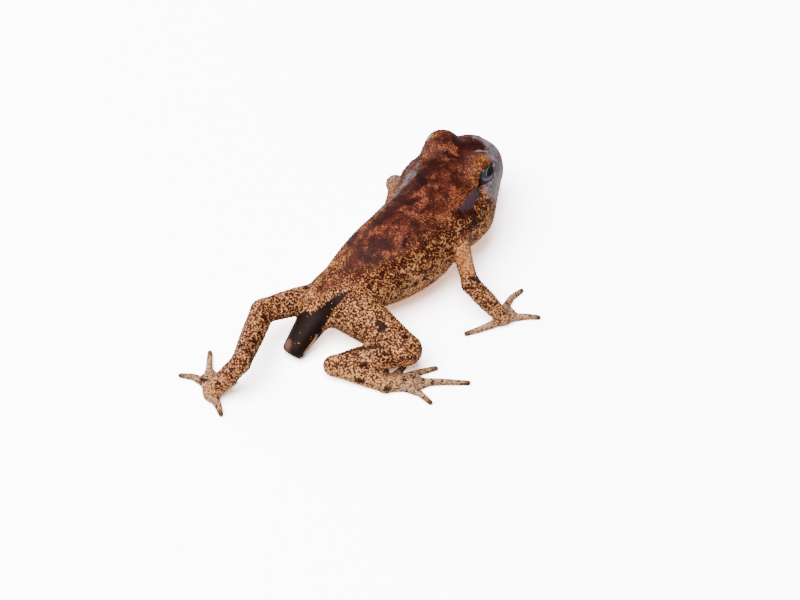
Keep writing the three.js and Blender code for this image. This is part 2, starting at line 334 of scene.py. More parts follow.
def limb_parts(name):
    """The tubes of one limb: bones as (path, radii), digits as (path, radii), and web corners."""
    limb = LIMBS[name]
    joint = np.array(limb["start"], float)
    bones = []
    for length, heading, pitch, radii in limb["bones"]:
        end = joint + unit(heading, pitch) * length
        bones.append((straight(joint, end), flesh_radii(radii)))
        joint = end
    foot = joint.copy()
    foot[2] = WRIST_HEIGHT
    kind = name.split("_")[0]
    radii = FINGER_RADII if kind == "arm" else TOE_RADII
    digits = [(digit_path(foot, *digit, radii), radii) for digit in limb["digits"]]
    webs = []
    order = sorted(range(len(digits)), key=lambda i: limb["digits"][i][0])
    for i, j in zip(order, order[1:]):
        if limb["digits"][j][0] - limb["digits"][i][0] > WEB_SPREAD:
            continue
        ends = [path[1] + (path[2] - path[1]) * WEB_SHARE[kind] for path in (digits[i][0], digits[j][0])]
        webs.append(np.array([foot, *ends]))
    return bones, digits, webs


PARTS = {name: limb_parts(name) for name in LIMBS}


def web_distance(p, corners):
    """Distance to a thin web between two digits, level with the floor."""
    flat = corners[:, :2]
    centre = flat.mean(0)
    best = np.full(len(p), -np.inf)
    for a, b in zip(flat, np.roll(flat, -1, axis=0)):
        run = b - a
        normal = np.array([run[1], -run[0]]) / np.linalg.norm(run)
        if (centre - a) @ normal > 0:
            normal = -normal
        best = np.maximum(best, (p[:, :2] - a) @ normal)
    return np.maximum(best, np.abs(p[:, 2] - WEB_HALF - WEB_LIFT) - WEB_HALF)


def mirrored(path, side):
    """A path given as (distance from the spine, y, z), on the right (1) or the left (-1) side."""
    path = np.array(path, float)
    bow = outline(path[:, 1])[0]
    return np.stack([bow + side * path[:, 0], path[:, 1], path[:, 2]], 1)


# Ridges and grooves are (height, width), and spans run from where they start to where they are full.
FOLD_ANGLE = 50
FOLD = (0.07, 7.0)
FOLD_REAR = (0.6, 2.4)
FOLD_FRONT = (-10.4, -9.6)
MOUTH_DROP = 0.2
MOUTH_SAG = 0.25
MOUTH_SAG_SPAN = (-10.8, -9.2)
MOUTH_CORNER = (9.0, 9.6)
MOUTH_GROOVE = (0.12, 0.06)
LIP_STEP = 0.07
LIP_HEIGHT = 0.12
CANTHUS = [(1.3, 12.1, 4.0), (0.95, 12.75, 3.85), (0.5, 13.35, 3.6)]
CANTHUS_RIDGE = (0.07, 0.22)
NOSTRIL = [(0.44, 12.72, 3.6), (0.52, 12.92, 4.3)]
NOSTRIL_RIM = (0.05, 0.2)
NOSTRIL_PIT = (0.17, 0.09)
EAR = (2.62, 9.35, 3.25)
EAR_RADIUS = 0.42
EAR_RIM = (0.045, 0.08)
EAR_DEPTH = 0.03
EAR_FLAT = 0.2


def mouth(p):
    """Height above the mouth's line, and how open the line is: 0 behind its corner, then 1."""
    y = p[:, 1]
    wide = outline(np.clip(y, REAR, FRONT))[3]
    line = wide - MOUTH_DROP - MOUTH_SAG * smooth(-y, *MOUTH_SAG_SPAN)
    return p[:, 2] - line, smooth(y, *MOUTH_CORNER)


def ear_distance(p, side):
    return np.linalg.norm(p - mirrored([EAR], side)[0], axis=1)


def detailed_body(p):
    """The body with its folds, mouth, nostrils, ridges and ear discs."""
    d = body_distance(p)
    angle = girth(p)
    y = p[:, 1]
    d = d - ridge(angle - FOLD_ANGLE, *FOLD) * smooth(y, *FOLD_REAR) * smooth(-y, *FOLD_FRONT)
    above, reach = mouth(p)
    d = d + reach * (ridge(above, *MOUTH_GROOVE) + LIP_STEP * smooth(-above, 0, LIP_HEIGHT))
    for side in (-1, 1):
        d = d - ridge(line_distance(p, mirrored(CANTHUS, side)), *CANTHUS_RIDGE)
        gap = line_distance(p, mirrored(NOSTRIL, side))
        d = d - ridge(gap, *NOSTRIL_RIM) + ridge(gap, *NOSTRIL_PIT)
        gap = ear_distance(p, side)
        d = d - ridge(gap - EAR_RADIUS, *EAR_RIM) + EAR_DEPTH * smooth(-gap, -EAR_RADIUS, -EAR_FLAT)
    return d


def eye_centre(side):
    return np.array([EYE_MIDDLE + side * EYE_SIDE, *EYE_PLACE])


def eye_distance(p, side):
    return np.linalg.norm(p - eye_centre(side), axis=1)


def lid_distance(p, side):
    """The raised lid over an eye, with the thin skin that wraps the eyeball below it."""
    centre = np.array([EYE_MIDDLE + side * LID["side"], LID["y"], LID["z"]])
    d = oval_distance(p, centre, LID["size"], -side * LID["turn"])
    wrap = eye_distance(p, side) - EYE_RADIUS - LID["thick"]
    return soft_min(d, wrap, BLEND["wrap"])


def opening_frame(side):
    """Middle direction, long way and short way of the eye's opening."""
    return [np.array(axis) * [side, 1, 1] for axis in OPENING["axes"]]


def opening_distance(p, side):
    """Distance outside the almond cone through which the eye shows."""
    middle, long_way, short_way = opening_frame(side)
    q = p - eye_centre(side)
    ahead = q @ middle
    along = np.degrees(np.arctan2(q @ long_way, ahead)) / OPENING["long"]
    aside = np.degrees(np.arctan2(q @ short_way, ahead)) / OPENING["short"]
    almond = np.abs(aside) / np.maximum(1 - along**2, OPENING["narrowest"])
    reach = np.linalg.norm(q, axis=1)
    cone = (np.sqrt(almond**2 + along**2) - 1) * reach * math.radians(OPENING["short"])
    return np.maximum(cone, OPENING["front"] - ahead)


def tail_distance(p):
    start = np.array(TAIL_START)
    length, heading, pitch = TAIL_RUN
    back = unit(heading, pitch)
    end = start + back * length
    across = unit(heading - 90) * TAIL_SPREAD
    radii = flesh_radii(TAIL_RADII)
    lobes = [
        tube_distance(p, straight(start + side * across, end + side * across + back * extra), radii)
        for side, extra in TAIL_LOBES.items()
    ]
    d = soft_min(*lobes, BLEND["lobes"])
    d = soft_min(d, tube_distance(p, np.array(TAIL_KEEL), TAIL_KEEL_RADII), BLEND["keel"])
    blunt = (p - end) @ back - TAIL_RADII[2] * TAIL_BLUNT
    return -soft_min(-d, -blunt, BLEND["tail_end"])


FAR = 2.5
# How softly parts run into each other.
BLEND = {
    "arm_right": 0.4,
    "arm_left": 0.4,
    "leg_right": 0.5,
    "leg_left": 0.2,
    "bone": 0.22,
    "digit": 0.16,
    "web": 0.12,
    "body": 0.05,
    "lid": 0.45,
    "wrap": 0.15,
    "opening": 0.06,
    "tail": 0.6,
    "lobes": 0.25,
    "keel": 0.4,
    "tail_end": 0.3,
    "floor": 0.03,
}
JOIN_PAD = 0.9
BODY_BOX = np.array([(-3.2, REAR, 0.0), (4.2, FRONT, 5.0)])
TAIL_BOX = np.array([(-0.7, -3.6, 0.0), (1.2, 0.5, 2.3)])
LID_REACH = 1.3
OPENING_REACH = 1.6


def skin_distance(p):
    """Distance to the frog's skin at many points, in millimetres."""
    p = np.asarray(p, float)
    distance = np.full(len(p), FAR)

    def join(low, high, part, blend):
        chosen = np.nonzero(np.all((p > low - JOIN_PAD) & (p < high + JOIN_PAD), axis=1))[0]
        if len(chosen):
            distance[chosen] = soft_min(distance[chosen], part(p[chosen]), blend)

    def join_tube(path, radii, blend):
        widest = max(radii)
        join(path.min(0) - widest, path.max(0) + widest, lambda q: tube_distance(q, path, radii), blend)

    join(*BODY_BOX, detailed_body, BLEND["body"])
    join(*TAIL_BOX, tail_distance, BLEND["tail"])
    for side in (-1, 1):
        low, high = eye_centre(side) - LID_REACH, eye_centre(side) + LID_REACH
        join(low, high, lambda q, s=side: lid_distance(q, s), BLEND["lid"])
    for name, (bones, digits, webs) in PARTS.items():
        for i, (path, radii) in enumerate(bones):
            join_tube(path, radii, BLEND["bone"] if i else BLEND[name])
        for path, radii in digits:
            join_tube(path, radii, BLEND["digit"])
        for corners in webs:
            low, high = corners.min(0), corners.max(0)
            join(low * [1, 1, 0], high, lambda q, c=corners: web_distance(q, c), BLEND["web"])
    for side in (-1, 1):
        near = np.nonzero(eye_distance(p, side) < OPENING_REACH)[0]
        if len(near):
            opening = opening_distance(p[near], side)
            raised = distance[near] - ridge(opening, *EYE_RIM)
            distance[near] = -soft_min(-raised, opening, BLEND["opening"])
    return -soft_min(-distance, p[:, 2], BLEND["floor"])


# ---- the skin's mesh ----------------------------------------------------------------------------

# The first, rough grid's step in fine steps, and how many rough steps from the skin count as near.
ROUGH = 3
NEAR_BAND = 1.9
SETTLE_ROUNDS = 2
SETTLE_MOST = 0.05
FINE_EYE = 1.25
FINE_FACE = (12.3, 1.9)
FLESH_MARGIN = 0.25


def grid_points(axes):
    return np.stack(np.meshgrid(*axes, indexing="ij"), -1).reshape(-1, 3)


def stretch(values, times):
    """Values on a grid, filled in evenly between its points."""
    for axis in range(3):
        count = (values.shape[axis] - 1) * times + 1
        place = np.arange(count) / times
        first = np.minimum(place.astype(int), values.shape[axis] - 2)
        shape = [1, 1, 1]
        shape[axis] = count
        share = (place - first).reshape(shape)
        values = values.take(first, axis) * (1 - share) + values.take(first + 1, axis) * share
    return values


def distance_grid(low, high, step):
    """Distances on an even grid, exact near the skin and rough elsewhere."""
    cells = np.ceil((high - low) / step / ROUGH).astype(int) * ROUGH
    axes = [low[i] + step * np.arange(cells[i] + 1) for i in range(3)]
    coarse = [axis[::ROUGH] for axis in axes]
    values = skin_distance(grid_points(coarse)).reshape([len(a) for a in coarse])
    values = stretch(values, ROUGH)
    near = np.abs(values) < ROUGH * step * NEAR_BAND
    points = np.stack([axes[i][k] for i, k in enumerate(np.nonzero(near))], 1)
    values[near] = skin_distance(points)
    return values


def surface_nets(values, low, step):
    """Points and four-sided faces on the zero level of a grid of distances."""
    shape = np.array(values.shape) - 1
    corners = list(itertools.product((0, 1), repeat=3))
    stack = np.stack(
        [values[tuple(slice(c[a], c[a] + shape[a]) for a in range(3))] for c in corners], -1
    )
    inside = (stack < 0).sum(-1)
    active = (inside > 0) & (inside < 8)
    index = np.full(shape, -1)
    index[active] = np.arange(active.sum())
    cell = np.stack(np.nonzero(active), 1)
    level = stack[active]
    total = np.zeros((len(cell), 3))
    hits = np.zeros(len(cell))
    for m, n in itertools.combinations(range(8), 2):
        start, end = np.array(corners[m]), np.array(corners[n])
        if np.abs(start - end).sum() != 1:
            continue
        crossed = (level[:, m] < 0) != (level[:, n] < 0)
        share = level[crossed, m] / (level[crossed, m] - level[crossed, n])
        total[crossed] += start + (end - start) * share[:, None]
        hits[crossed] += 1
    points = low + step * (cell + total / hits[:, None])
    faces = []
    for axis in range(3):
        u, v = [a for a in range(3) if a != axis]
        cut = [slice(None)] * 3
        cut[axis] = slice(0, -1)
        other = [slice(None)] * 3
        other[axis] = slice(1, None)
        first, second = values[tuple(cut)] < 0, values[tuple(other)] < 0
        crossing = np.stack(np.nonzero(first != second), 1)
        crossing = crossing[(crossing[:, u] > 0) & (crossing[:, v] > 0)]
        crossing = crossing[(crossing[:, u] < shape[u]) & (crossing[:, v] < shape[v])]
        back = np.zeros((2, 3), int)
        back[0, u] = 1
        back[1, v] = 1
        ring = [crossing - back[0] - back[1], crossing - back[1], crossing, crossing - back[0]]
        quad = np.stack([index[tuple(r.T)] for r in ring], 1)
        outward = first[tuple(crossing.T)] ^ (axis == 1)
        faces.append(np.where(outward[:, None], quad, quad[:, ::-1]))
    return points, np.concatenate(faces)


def slope(p):
    """Gradient of the skin distance."""
    result = np.empty_like(p)
    for axis in range(3):
        step = np.zeros(3)
        step[axis] = SLOPE_REACH
        result[:, axis] = (skin_distance(p + step) - skin_distance(p - step)) / (2 * SLOPE_REACH)
    return result


def settle(p):
    """Moves points onto the skin."""
    for _ in range(SETTLE_ROUNDS):
        away = slope(p)
        move = skin_distance(p) / np.maximum((away**2).sum(1), LEAST_SLOPE)
        p = p - away * np.clip(move, -SETTLE_MOST, SETTLE_MOST)[:, None]
    return p


def new_object(name, mesh):
    made = bpy.data.objects.new(name, mesh)
    bpy.context.scene.collection.objects.link(made)
    return made


def mesh_points(mesh):
    values = np.empty(len(mesh.vertices) * 3, np.float32)
    mesh.vertices.foreach_get("co", values)
    return values.reshape(-1, 3).astype(float)


def put_points(mesh, points):
    mesh.vertices.foreach_set("co", points.astype(np.float32).ravel())


def store(mesh, name, values):
    layer = mesh.attributes.new(name, "FLOAT", "POINT")
    layer.data.foreach_set("value", values.astype(np.float32))


def refine(mesh, chosen_of):
    """Halves the edges of the faces whose points are chosen."""
    work = bmesh.new()
    work.from_mesh(mesh)
    work.verts.ensure_lookup_table()
    chosen = chosen_of(np.array([v.co for v in work.verts]))
    edges = [e for e in work.edges if chosen[e.verts[0].index] and chosen[e.verts[1].index]]
    bmesh.ops.subdivide_edges(work, edges=edges, cuts=1, use_grid_fill=True)
    work.to_mesh(mesh)
    work.free()


def on_fine_head(points):
    """True where the skin needs finer faces: the head in front of the neck."""
    p = points / MM - SHIFT
    near_eye = [eye_distance(p, side) < FINE_EYE for side in (-1, 1)]
    face = (p[:, 1] > FINE_FACE[0]) & (p[:, 2] > FINE_FACE[1])
    return near_eye[0] | near_eye[1] | face


# ---- markings -----------------------------------------------------------------------------------

# Markings, each a path of (x, y, z, radius) in the frog's own measures.
MARKS = {
    "dark": [
        [(-0.51, 8.3, 4.55, 0.2), (0.08, 7.99, 4.7, 0.24), (0.4, 7.8, 4.75, 0.1)],
        [(-0.86, 10.46, 4.44, 0.14), (-0.38, 10.49, 4.43, 0.2), (0.25, 10.75, 4.4, 0.12)],
        [(0.6, 6.3, 4.7, 0.17), (0.68, 6.5, 4.7, 0.15)],
        [(-0.43, 12.05, 4.14, 0.16), (-0.1, 12.3, 4.05, 0.12)],
        [(-1.01, 12.48, 3.89, 0.08), (-1.35, 12.2, 3.85, 0.1)],
        [(2.09, 4.3, 4.39, 0.12), (2.0, 4.55, 4.4, 0.1)],
        [(2.18, 4.07, 4.33, 0.12), (2.1, 4.2, 4.35, 0.1)],
        # Painted shade: the thin dark line along the left edge of the rump.
        [(-0.62, 1.0, 3.0, 0.03), (-0.7, 0.3, 2.76, 0.06),
         (-0.76, -0.37, 2.5, 0.07), (-0.5, -1.2, 2.4, 0.05)],
        [(-0.86, -1.45, 2.9, 0.17), (-0.8, -1.6, 2.85, 0.15)],
        [(-1.0, -3.3, 2.75, 0.1), (-0.6, -3.5, 2.6, 0.12)],
        [(-1.05, -4.51, 2.71, 0.12), (-1.1, -4.3, 2.6, 0.1)],
        [(-0.48, -4.31, 2.6, 0.13), (-0.45, -4.2, 2.6, 0.1)],
        [(-0.3, -4.82, 2.6, 0.15), (-0.2, -4.7, 2.5, 0.12)],
        [(-0.55, -5.6, 2.6, 0.11), (-0.5, -5.8, 2.55, 0.09)],
        [(0.07, -5.48, 2.42, 0.13), (0.3, -5.9, 2.2, 0.13)],
        [(-1.58, -7.25, 0.5, 0.16), (-1.87, -7.33, 0.45, 0.14)],
        [(3.75, 0.25, 2.7, 0.2), (4.09, 0.19, 2.6, 0.22)],
        [(5.29, 0.79, 2.34, 0.12), (5.25, 0.6, 2.4, 0.12)],
        [(2.85, -1.8, 1.25, 0.1), (3.6, -1.05, 1.65, 0.17),
         (4.25, -0.62, 1.88, 0.16), (4.75, -0.4, 1.97, 0.08)],
        [(4.96, -0.56, 1.95, 0.16), (5.0, -0.45, 1.95, 0.12)],
        [(4.25, -1.55, 1.3, 0.14), (4.4, -1.45, 1.3, 0.14)],
        [(4.4, -2.1, 0.65, 0.16), (4.75, -2.0, 0.6, 0.16)],
        [(5.15, -1.85, 0.5, 0.12), (5.3, -1.8, 0.5, 0.12)],
        [(5.7, -1.45, 0.45, 0.14), (6.1, -1.3, 0.4, 0.14)],
        [(6.9, -0.75, 0.4, 0.1), (7.0, -0.7, 0.4, 0.1)],
        [(6.15, -0.42, 0.5, 0.12), (6.2, -0.35, 0.5, 0.1)],
        [(5.48, 5.84, 2.75, 0.16), (5.67, 6.1, 2.5, 0.18)],
    ],
    # Golden places: the top of the lids, the rump's stripe, the upper arms.
    "gold": [
        [(1.3, 11.7, 4.75, 0.3), (1.65, 11.05, 4.77, 0.32),
         (1.78, 10.6, 4.68, 0.26), (1.9, 10.2, 4.36, 0.16)],
        [(-1.5, 11.6, 4.6, 0.1), (-1.75, 10.9, 4.7, 0.12)],
        [(-0.2, -1.1, 2.4, 0.2), (-0.35, -0.47, 2.65, 0.26), (-0.39, 0.3, 2.98, 0.28),
         (-0.36, 1.12, 3.22, 0.26), (0.1, 2.0, 3.9, 0.1)],
        [(3.8, 7.0, 2.8, 0.5), (4.55, 6.5, 2.7, 0.6), (5.1, 6.1, 2.5, 0.4)],
        [(-1.9, 8.1, 2.7, 0.35), (-2.6, 8.9, 2.2, 0.4)],
    ],
    # Pale edges: the right margin of the tail and flecks on the right side.
    "pale": [
        [(1.03, -1.6, 1.2, 0.08), (1.12, -2.0, 0.8, 0.14), (1.08, -2.5, 0.5, 0.14)],
        [(2.4, 10.24, 3.9, 0.09), (2.45, 10.12, 3.85, 0.07)],
        [(2.97, 4.14, 3.6, 0.02), (2.99, 4.43, 3.69, 0.035), (3.01, 4.62, 3.75, 0.01)],
        [(2.92, 5.31, 4.08, 0.01), (3.0, 5.17, 3.93, 0.03)],
        [(2.72, 3.3, 3.48, 0.055), (2.86, 3.38, 3.29, 0.04)],
        [(3.02, 3.84, 3.33, 0.065), (3.0, 4.02, 3.48, 0.045)],
        [(2.44, 2.75, 3.43, 0.05), (2.56, 2.85, 3.34, 0.035)],
    ],
    # The thin light line along the fold, pale skin with painted highlight, and round the front of the lid,
    # a painted highlight.
    "pale_line_and_highlight": [
        [(2.25, 9.4, 4.2, 0.05), (2.27, 8.98, 4.26, 0.05), (2.33, 8.25, 4.33, 0.05),
         (2.45, 7.46, 4.35, 0.05), (2.5, 7.1, 4.33, 0.05)],
        [(0.41, 11.47, 4.29, 0.03), (0.44, 12.12, 4.12, 0.07), (0.75, 12.5, 3.96, 0.05)],
    ],
    # The smooth mauve mask behind the eye.
    "mask": [
        [(2.05, 10.3, 3.9, 0.22), (2.43, 9.46, 4.1, 0.25), (2.58, 8.77, 4.1, 0.28), (2.6, 8.15, 4.2, 0.16)],
        [(-2.0, 10.05, 4.03, 0.12), (-2.05, 9.46, 4.07, 0.2), (-2.1, 8.77, 4.08, 0.2)],
    ],
    # Plum on the snout, below the mask and along the left of the back: dark pigment on the snout, painted
    # shade mixed with pigment on the left side.
    "plum_and_shade": [
        [(-0.76, 11.59, 4.5, 0.35), (-0.39, 11.9, 4.25, 0.45), (0.1, 12.4, 4.05, 0.4)],
        [(-0.5, 9.5, 4.6, 0.5), (-0.5, 8.7, 4.5, 0.62), (-0.2, 7.5, 4.5, 0.55),
         (0, 6.4, 4.6, 0.5), (0, 5.4, 4.5, 0.45), (0, 3.6, 4.35, 0.25)],
        [(-2.1, 10.2, 3.3, 0.6), (-1.9, 9.2, 3.7, 0.7), (-1.6, 8.0, 3.8, 0.6)],
    ],
    # Plum blots: below the mask, on the hips.
    "blot": [
        [(2.55, 7.6, 4.35, 0.12), (2.83, 8.05, 4.0, 0.3),
         (2.92, 8.64, 3.8, 0.34), (3.25, 8.45, 3.35, 0.16)],
        [(0.73, 3.25, 4.42, 0.2), (1.03, 2.76, 4.26, 0.28), (1.2, 2.26, 4.02, 0.16)],
        [(-0.3, 5.4, 4.6, 0.2), (0.1, 5.2, 4.6, 0.16)],
        [(-0.43, 3.3, 4.1, 0.16), (-0.3, 2.6, 3.9, 0.2)],
    ],
    # Grey, see-through looking skin with painted sheen of moist skin on it: snout rim, lower lids, cheeks;
    # along the left of the back and on the left elbow the strokes are painted sheen only.
    "grey_and_sheen": [
        [(-1.1, 12.67, 3.85, 0.12), (-0.38, 13.1, 3.8, 0.16),
         (0.1, 13.25, 3.7, 0.35), (0.8, 12.95, 3.85, 0.42)],
        [(0.8, 12.95, 3.85, 0.42), (1.2, 12.5, 3.95, 0.4),
         (1.62, 11.95, 4.5, 0.22), (2.06, 11.55, 4.4, 0.25)],
        [(2.06, 11.55, 4.4, 0.25), (2.39, 11.23, 4.0, 0.32),
         (2.46, 11.0, 3.6, 0.4), (2.52, 10.6, 3.55, 0.35)],
        [(1.5, 12.5, 3.5, 0.4), (2.2, 11.7, 3.4, 0.36), (2.7, 10.9, 3.3, 0.24), (2.7, 10.5, 3.4, 0.1)],
        [(0.7, 13.7, 3.0, 0.45), (1.6, 12.9, 2.95, 0.42), (2.3, 11.7, 2.9, 0.36), (2.7, 10.9, 2.9, 0.2)],
        [(0.5, 13.7, 3.3, 0.3), (-0.9, 13.5, 3.3, 0.24), (-1.8, 12.6, 3.4, 0.24), (-2.2, 11.3, 3.3, 0.24)],
        # Painted sheen only: along the left of the back and on the left elbow.
        [(-1.35, 9.3, 4.2, 0.06), (-1.05, 8.75, 4.3, 0.12), (-0.85, 7.8, 4.3, 0.14),
         (-0.7, 6.75, 4.3, 0.1), (-0.6, 5.6, 4.3, 0.08), (-0.7, 4.6, 4.1, 0.0)],
        [(-2.7, 8.9, 1.9, 0.15), (-3.0, 9.25, 1.75, 0.3), (-3.0, 9.5, 1.7, 0.15)],
    ],
    # The tan, see-through corner at the end of the tail.
    "tan": [
        [(0.1, -2.8, 0.95, 0.2), (0.25, -3.1, 0.8, 0.22)],
    ],
}
# The smooth dark wedge that runs from the tail up the right of the rump.
WEDGE = [
    [(1.45, 0.25, 3.18, 0.08), (1.28, -0.12, 3.0, 0.2), (1.1, -0.5, 2.66, 0.3),
     (0.92, -0.9, 2.2, 0.4), (0.78, -1.45, 1.8, 0.5)],
]
TAIL_DARK_FROM = -1.2
# Spans over which a colouring value rises from 0 to 1.
LIMB_SPAN = (-0.35, 0.35)
DIGIT_SPAN = (-0.6, 0.5)
DIGIT_LOW = (-0.9, -0.45)
REAR_SPAN = (-2.6, -0.6)
CROWN_HEIGHT = (3.95, 4.25)
CROWN_SPAN = (9.6, 10.2)
BARE_SPAN = (-0.12, 0.05)
SIDE_SPAN = (-0.75, -0.3)
UNDER_SPAN = (-0.95, -0.6)
EYE_SPAN = (-1.6, -1.1)
REAR_LOWERED = 0.4
MOUTH_NEAR = 0.3
MOUTH_HALF = 0.05
MOUTH_FADE = 0.2
NOSTRIL_HALF = 0.08
DIGIT_SMOOTH = 0.75
# Where the skin carries no granules.
BARE = ("dark", "pale", "mask", "grey_and_sheen", "tail", "mouth", "ear")


def strokes(p, marks):
    """Highest where a point is deepest inside one of the marks; zero on their edges."""
    best = np.full(len(p), -1.0)
    for mark in marks:
        mark = np.array(mark, float)
        path, radii = mark[:, :3], mark[:, 3]
        near = np.all((p > path.min(0) - 1) & (p < path.max(0) + 1), axis=1)
        if near.any():
            best[near] = np.maximum(best[near], -tube_distance(p[near], path, radii))
    return best


def limb_fields(p):
    """Distances to limbs, digits and the nearest digit's tip, and how far up on a limb, -1 to 1."""
    limb = np.full(len(p), FAR)
    digit = np.full(len(p), FAR)
    tip = np.full(len(p), FAR)
    lift = np.zeros(len(p))
    for bones, digits, _ in PARTS.values():
        for path, radii in bones:
            d = tube_distance(p, path, radii)
            run = path[-1] - path[0]
            t = np.clip((p - path[0]) @ run / (run @ run), 0, 1)
            axis_z = path[0][2] + run[2] * t
            radius = np.interp(t, np.linspace(0, 1, len(radii)), radii)
            nearer = d < limb
            lift = np.where(nearer, (p[:, 2] - axis_z) / radius, lift)
            limb = np.minimum(limb, d)
        for path, radii in digits:
            d = tube_distance(p, path, radii)
            tip = np.where(d < digit, np.linalg.norm(p - path[-1], axis=1), tip)
            digit = np.minimum(digit, d)
    return limb, digit, np.clip(lift, -1, 1), tip


def skin_fields(p):
    """What the skin's colouring needs at each point, as a dict of values."""
    body = body_distance(p)
    tail = tail_distance(p)
    limb, digit, lift, tip = limb_fields(p)
    on_limb = smooth(body - np.minimum(limb, digit), *LIMB_SPAN)
    on_digit = smooth(np.minimum(limb, body) - digit, *DIGIT_SPAN) * smooth(-p[:, 2], *DIGIT_LOW)
    up = girth(p) / 90 - REAR_LOWERED * smooth(-p[:, 1], *REAR_SPAN)
    crown = smooth(p[:, 2], *CROWN_HEIGHT) * smooth(p[:, 1], *CROWN_SPAN)
    up = np.maximum(up, crown)
    fields = {
        "lift": up * (1 - on_limb) + lift * on_limb,
        "limb": on_limb,
        "digit": on_digit,
        "tail": np.maximum(np.minimum(limb - tail, TAIL_DARK_FROM - p[:, 1]), strokes(p, WEDGE)),
        "tip": tip,
    }
    fields.update({name: strokes(p, marks) for name, marks in MARKS.items()})
    above, reach = mouth(p)
    line = np.where(body < MOUTH_NEAR, MOUTH_HALF - np.abs(above), -1) - MOUTH_FADE * (1 - reach)
    nostrils = [NOSTRIL_HALF - line_distance(p, mirrored(NOSTRIL, side)) for side in (-1, 1)]
    fields["mouth"] = np.max([line, *nostrils], axis=0)
    fields["ear"] = EAR_RADIUS - np.minimum(ear_distance(p, -1), ear_distance(p, 1))
    smooth_skin = [smooth(fields[name], *BARE_SPAN) for name in BARE]
    rough = np.maximum(smooth(-fields["lift"], *SIDE_SPAN), on_limb) * smooth(fields["lift"], *UNDER_SPAN)
    rough = rough * (1 - DIGIT_SMOOTH * on_digit) * (1 - np.max(smooth_skin, axis=0))
    near_eye = [smooth(-eye_distance(p, side), *EYE_SPAN) for side in (-1, 1)]
    fields["grainy"] = np.clip(rough * (1 - near_eye[0]) * (1 - near_eye[1]), 0, 1)
    return fields


# ---- shader groups ------------------------------------------------------------------------------


def identified(sockets, identifier):
    return next(socket for socket in sockets if socket.identifier == identifier)


class Wiring:
    """Adds nodes to a tree and joins them up."""

    def __init__(self, tree):
        self.tree = tree

    def node(self, kind, inputs=None, **settings):
        made = self.tree.nodes.new(kind)
        for key, value in settings.items():
            setattr(made, key, value)
        for key, value in (inputs or {}).items():
            self.feed(made.inputs[key], value)
        return made

    def feed(self, socket, value):
        if isinstance(value, bpy.types.NodeSocket):
            self.tree.links.new(value, socket)
        elif value is not None:
            socket.default_value = value

    def math(self, operation, a, b=None, c=None):
        made = self.node("ShaderNodeMath", {0: a, 1: b, 2: c}, operation=operation)
        return made.outputs[0]

    def times(self, a, b):
        return self.math("MULTIPLY", a, b)

    def plus(self, a, b):
        return self.math("ADD", a, b)

    def most(self, a, b):
        return self.math("MAXIMUM", a, b)

    def linear(self, value, factor, offset):
        return self.math("MULTIPLY_ADD", value, factor, offset)

    def place(self):
        return self.node("ShaderNodeTexCoord").outputs["Object"]

    def noise_outputs(self, scale, detail, roughness):
        """Cloudy noise over the object: a value from 0 to 1 and a colour."""
        values = {"Vector": self.place(), "Scale": scale, "Detail": detail, "Roughness": roughness}
        return self.node("ShaderNodeTexNoise", values).outputs

    def noise(self, scale, detail=3.0, roughness=0.5):
        return self.noise_outputs(scale, detail, roughness)["Fac"]

    def step(self, value, low, high, start=0.0, end=1.0):
        made = self.node(
            "ShaderNodeMapRange",
            {"Value": value, "From Min": low, "From Max": high, "To Min": start, "To Max": end},
            interpolation_type="SMOOTHSTEP",
        )
        return made.outputs[0]

    def mix(self, share, a, b):
        made = self.node("ShaderNodeMix", data_type="RGBA")
        for name, value in (("Factor_Float", share), ("A_Color", a), ("B_Color", b)):
            self.feed(identified(made.inputs, name), value)
        return identified(made.outputs, "Result_Color")

    def field(self, name):
        return self.node("ShaderNodeAttribute", attribute_name=name).outputs["Fac"]


def new_material(name):
    """A material without nodes, and the wiring of its tree."""
    material = bpy.data.materials.new(name)
    material.use_nodes = True
    material.node_tree.nodes.clear()
    return material, Wiring(material.node_tree)


def new_group(name, inputs, outputs):
    """A shader group with named inputs (name: default) and outputs (name: kind)."""
    tree = bpy.data.node_groups.new(name, "ShaderNodeTree")
    for label, default in inputs.items():
        socket = tree.interface.new_socket(name=label, in_out="INPUT", socket_type="NodeSocketFloat")
        socket.default_value = default
    for label, kind in outputs.items():
        tree.interface.new_socket(name=label, in_out="OUTPUT", socket_type=f"NodeSocket{kind}")
    wiring = Wiring(tree)
    entry = wiring.node("NodeGroupInput")
    leave = wiring.node("NodeGroupOutput")
    return tree, wiring, entry.outputs, leave.inputs


# Spans over which a shading value rises, with the values at both ends where they aren't 0 and 1.
SPAN = {
    "fleck": (0.515, 0.56),
    "net": (0.49, 0.435),
    "fleck_shade": (0.38, 0.62),
    "fleck_height": (0.35, 0.65),
    "side": (0.78, 0.38),
    "low": (0.5, -0.05),
    "raised": (0.1, 0.75),
    "clump": (0.38, 0.62, 0.2, 0.72),
    "clump_fleck": (0.3, 0.65, 0.35, 1.0),
    "cloud": (0.35, 0.65, -0.25, 0.25),
    "under": (0.4, -0.3),
    "floor_bounce_light": (1.7 * MM, 0.4 * MM, 0.0, 0.22),
    "granule_shade": (0.3, 0.9),
    "belly": (-0.7, -1.0),
    "toe_bands": (0.1, 0.6, 0.0, 0.9),
    "toe_tip": (0.42, 0.12, 0.0, 0.75),
    "grey_sheen_tone": (0.35, 0.7),
    "ear": (-0.05, 0.08, 0.0, 0.45),
    "mouth": (-0.03, 0.04, 0.0, 0.9),
    "rim": (0.25, 0.9, 0.0, 0.6),
    "iris": (0.3, 0.7, 0.0, 0.5),
    "pupil": (1.05, 0.95),
    "ring_inside": (0.98, 1.04),
    "ring_outside": (1.2, 1.08),
    "ring_above": (0.03, 0.13, 0.0, 0.75),
}
# Scale of each kind of cloudy noise, per metre.
CLOUDS = {
    "clump": 1100.0,
    "relief": 1600.0,
    "cloud": 2300.0,
    "toe_bands": 3000.0,
    "grey_sheen_tone": 5200.0,
    "gloss": 6000.0,
    "iris": 9000.0,
}


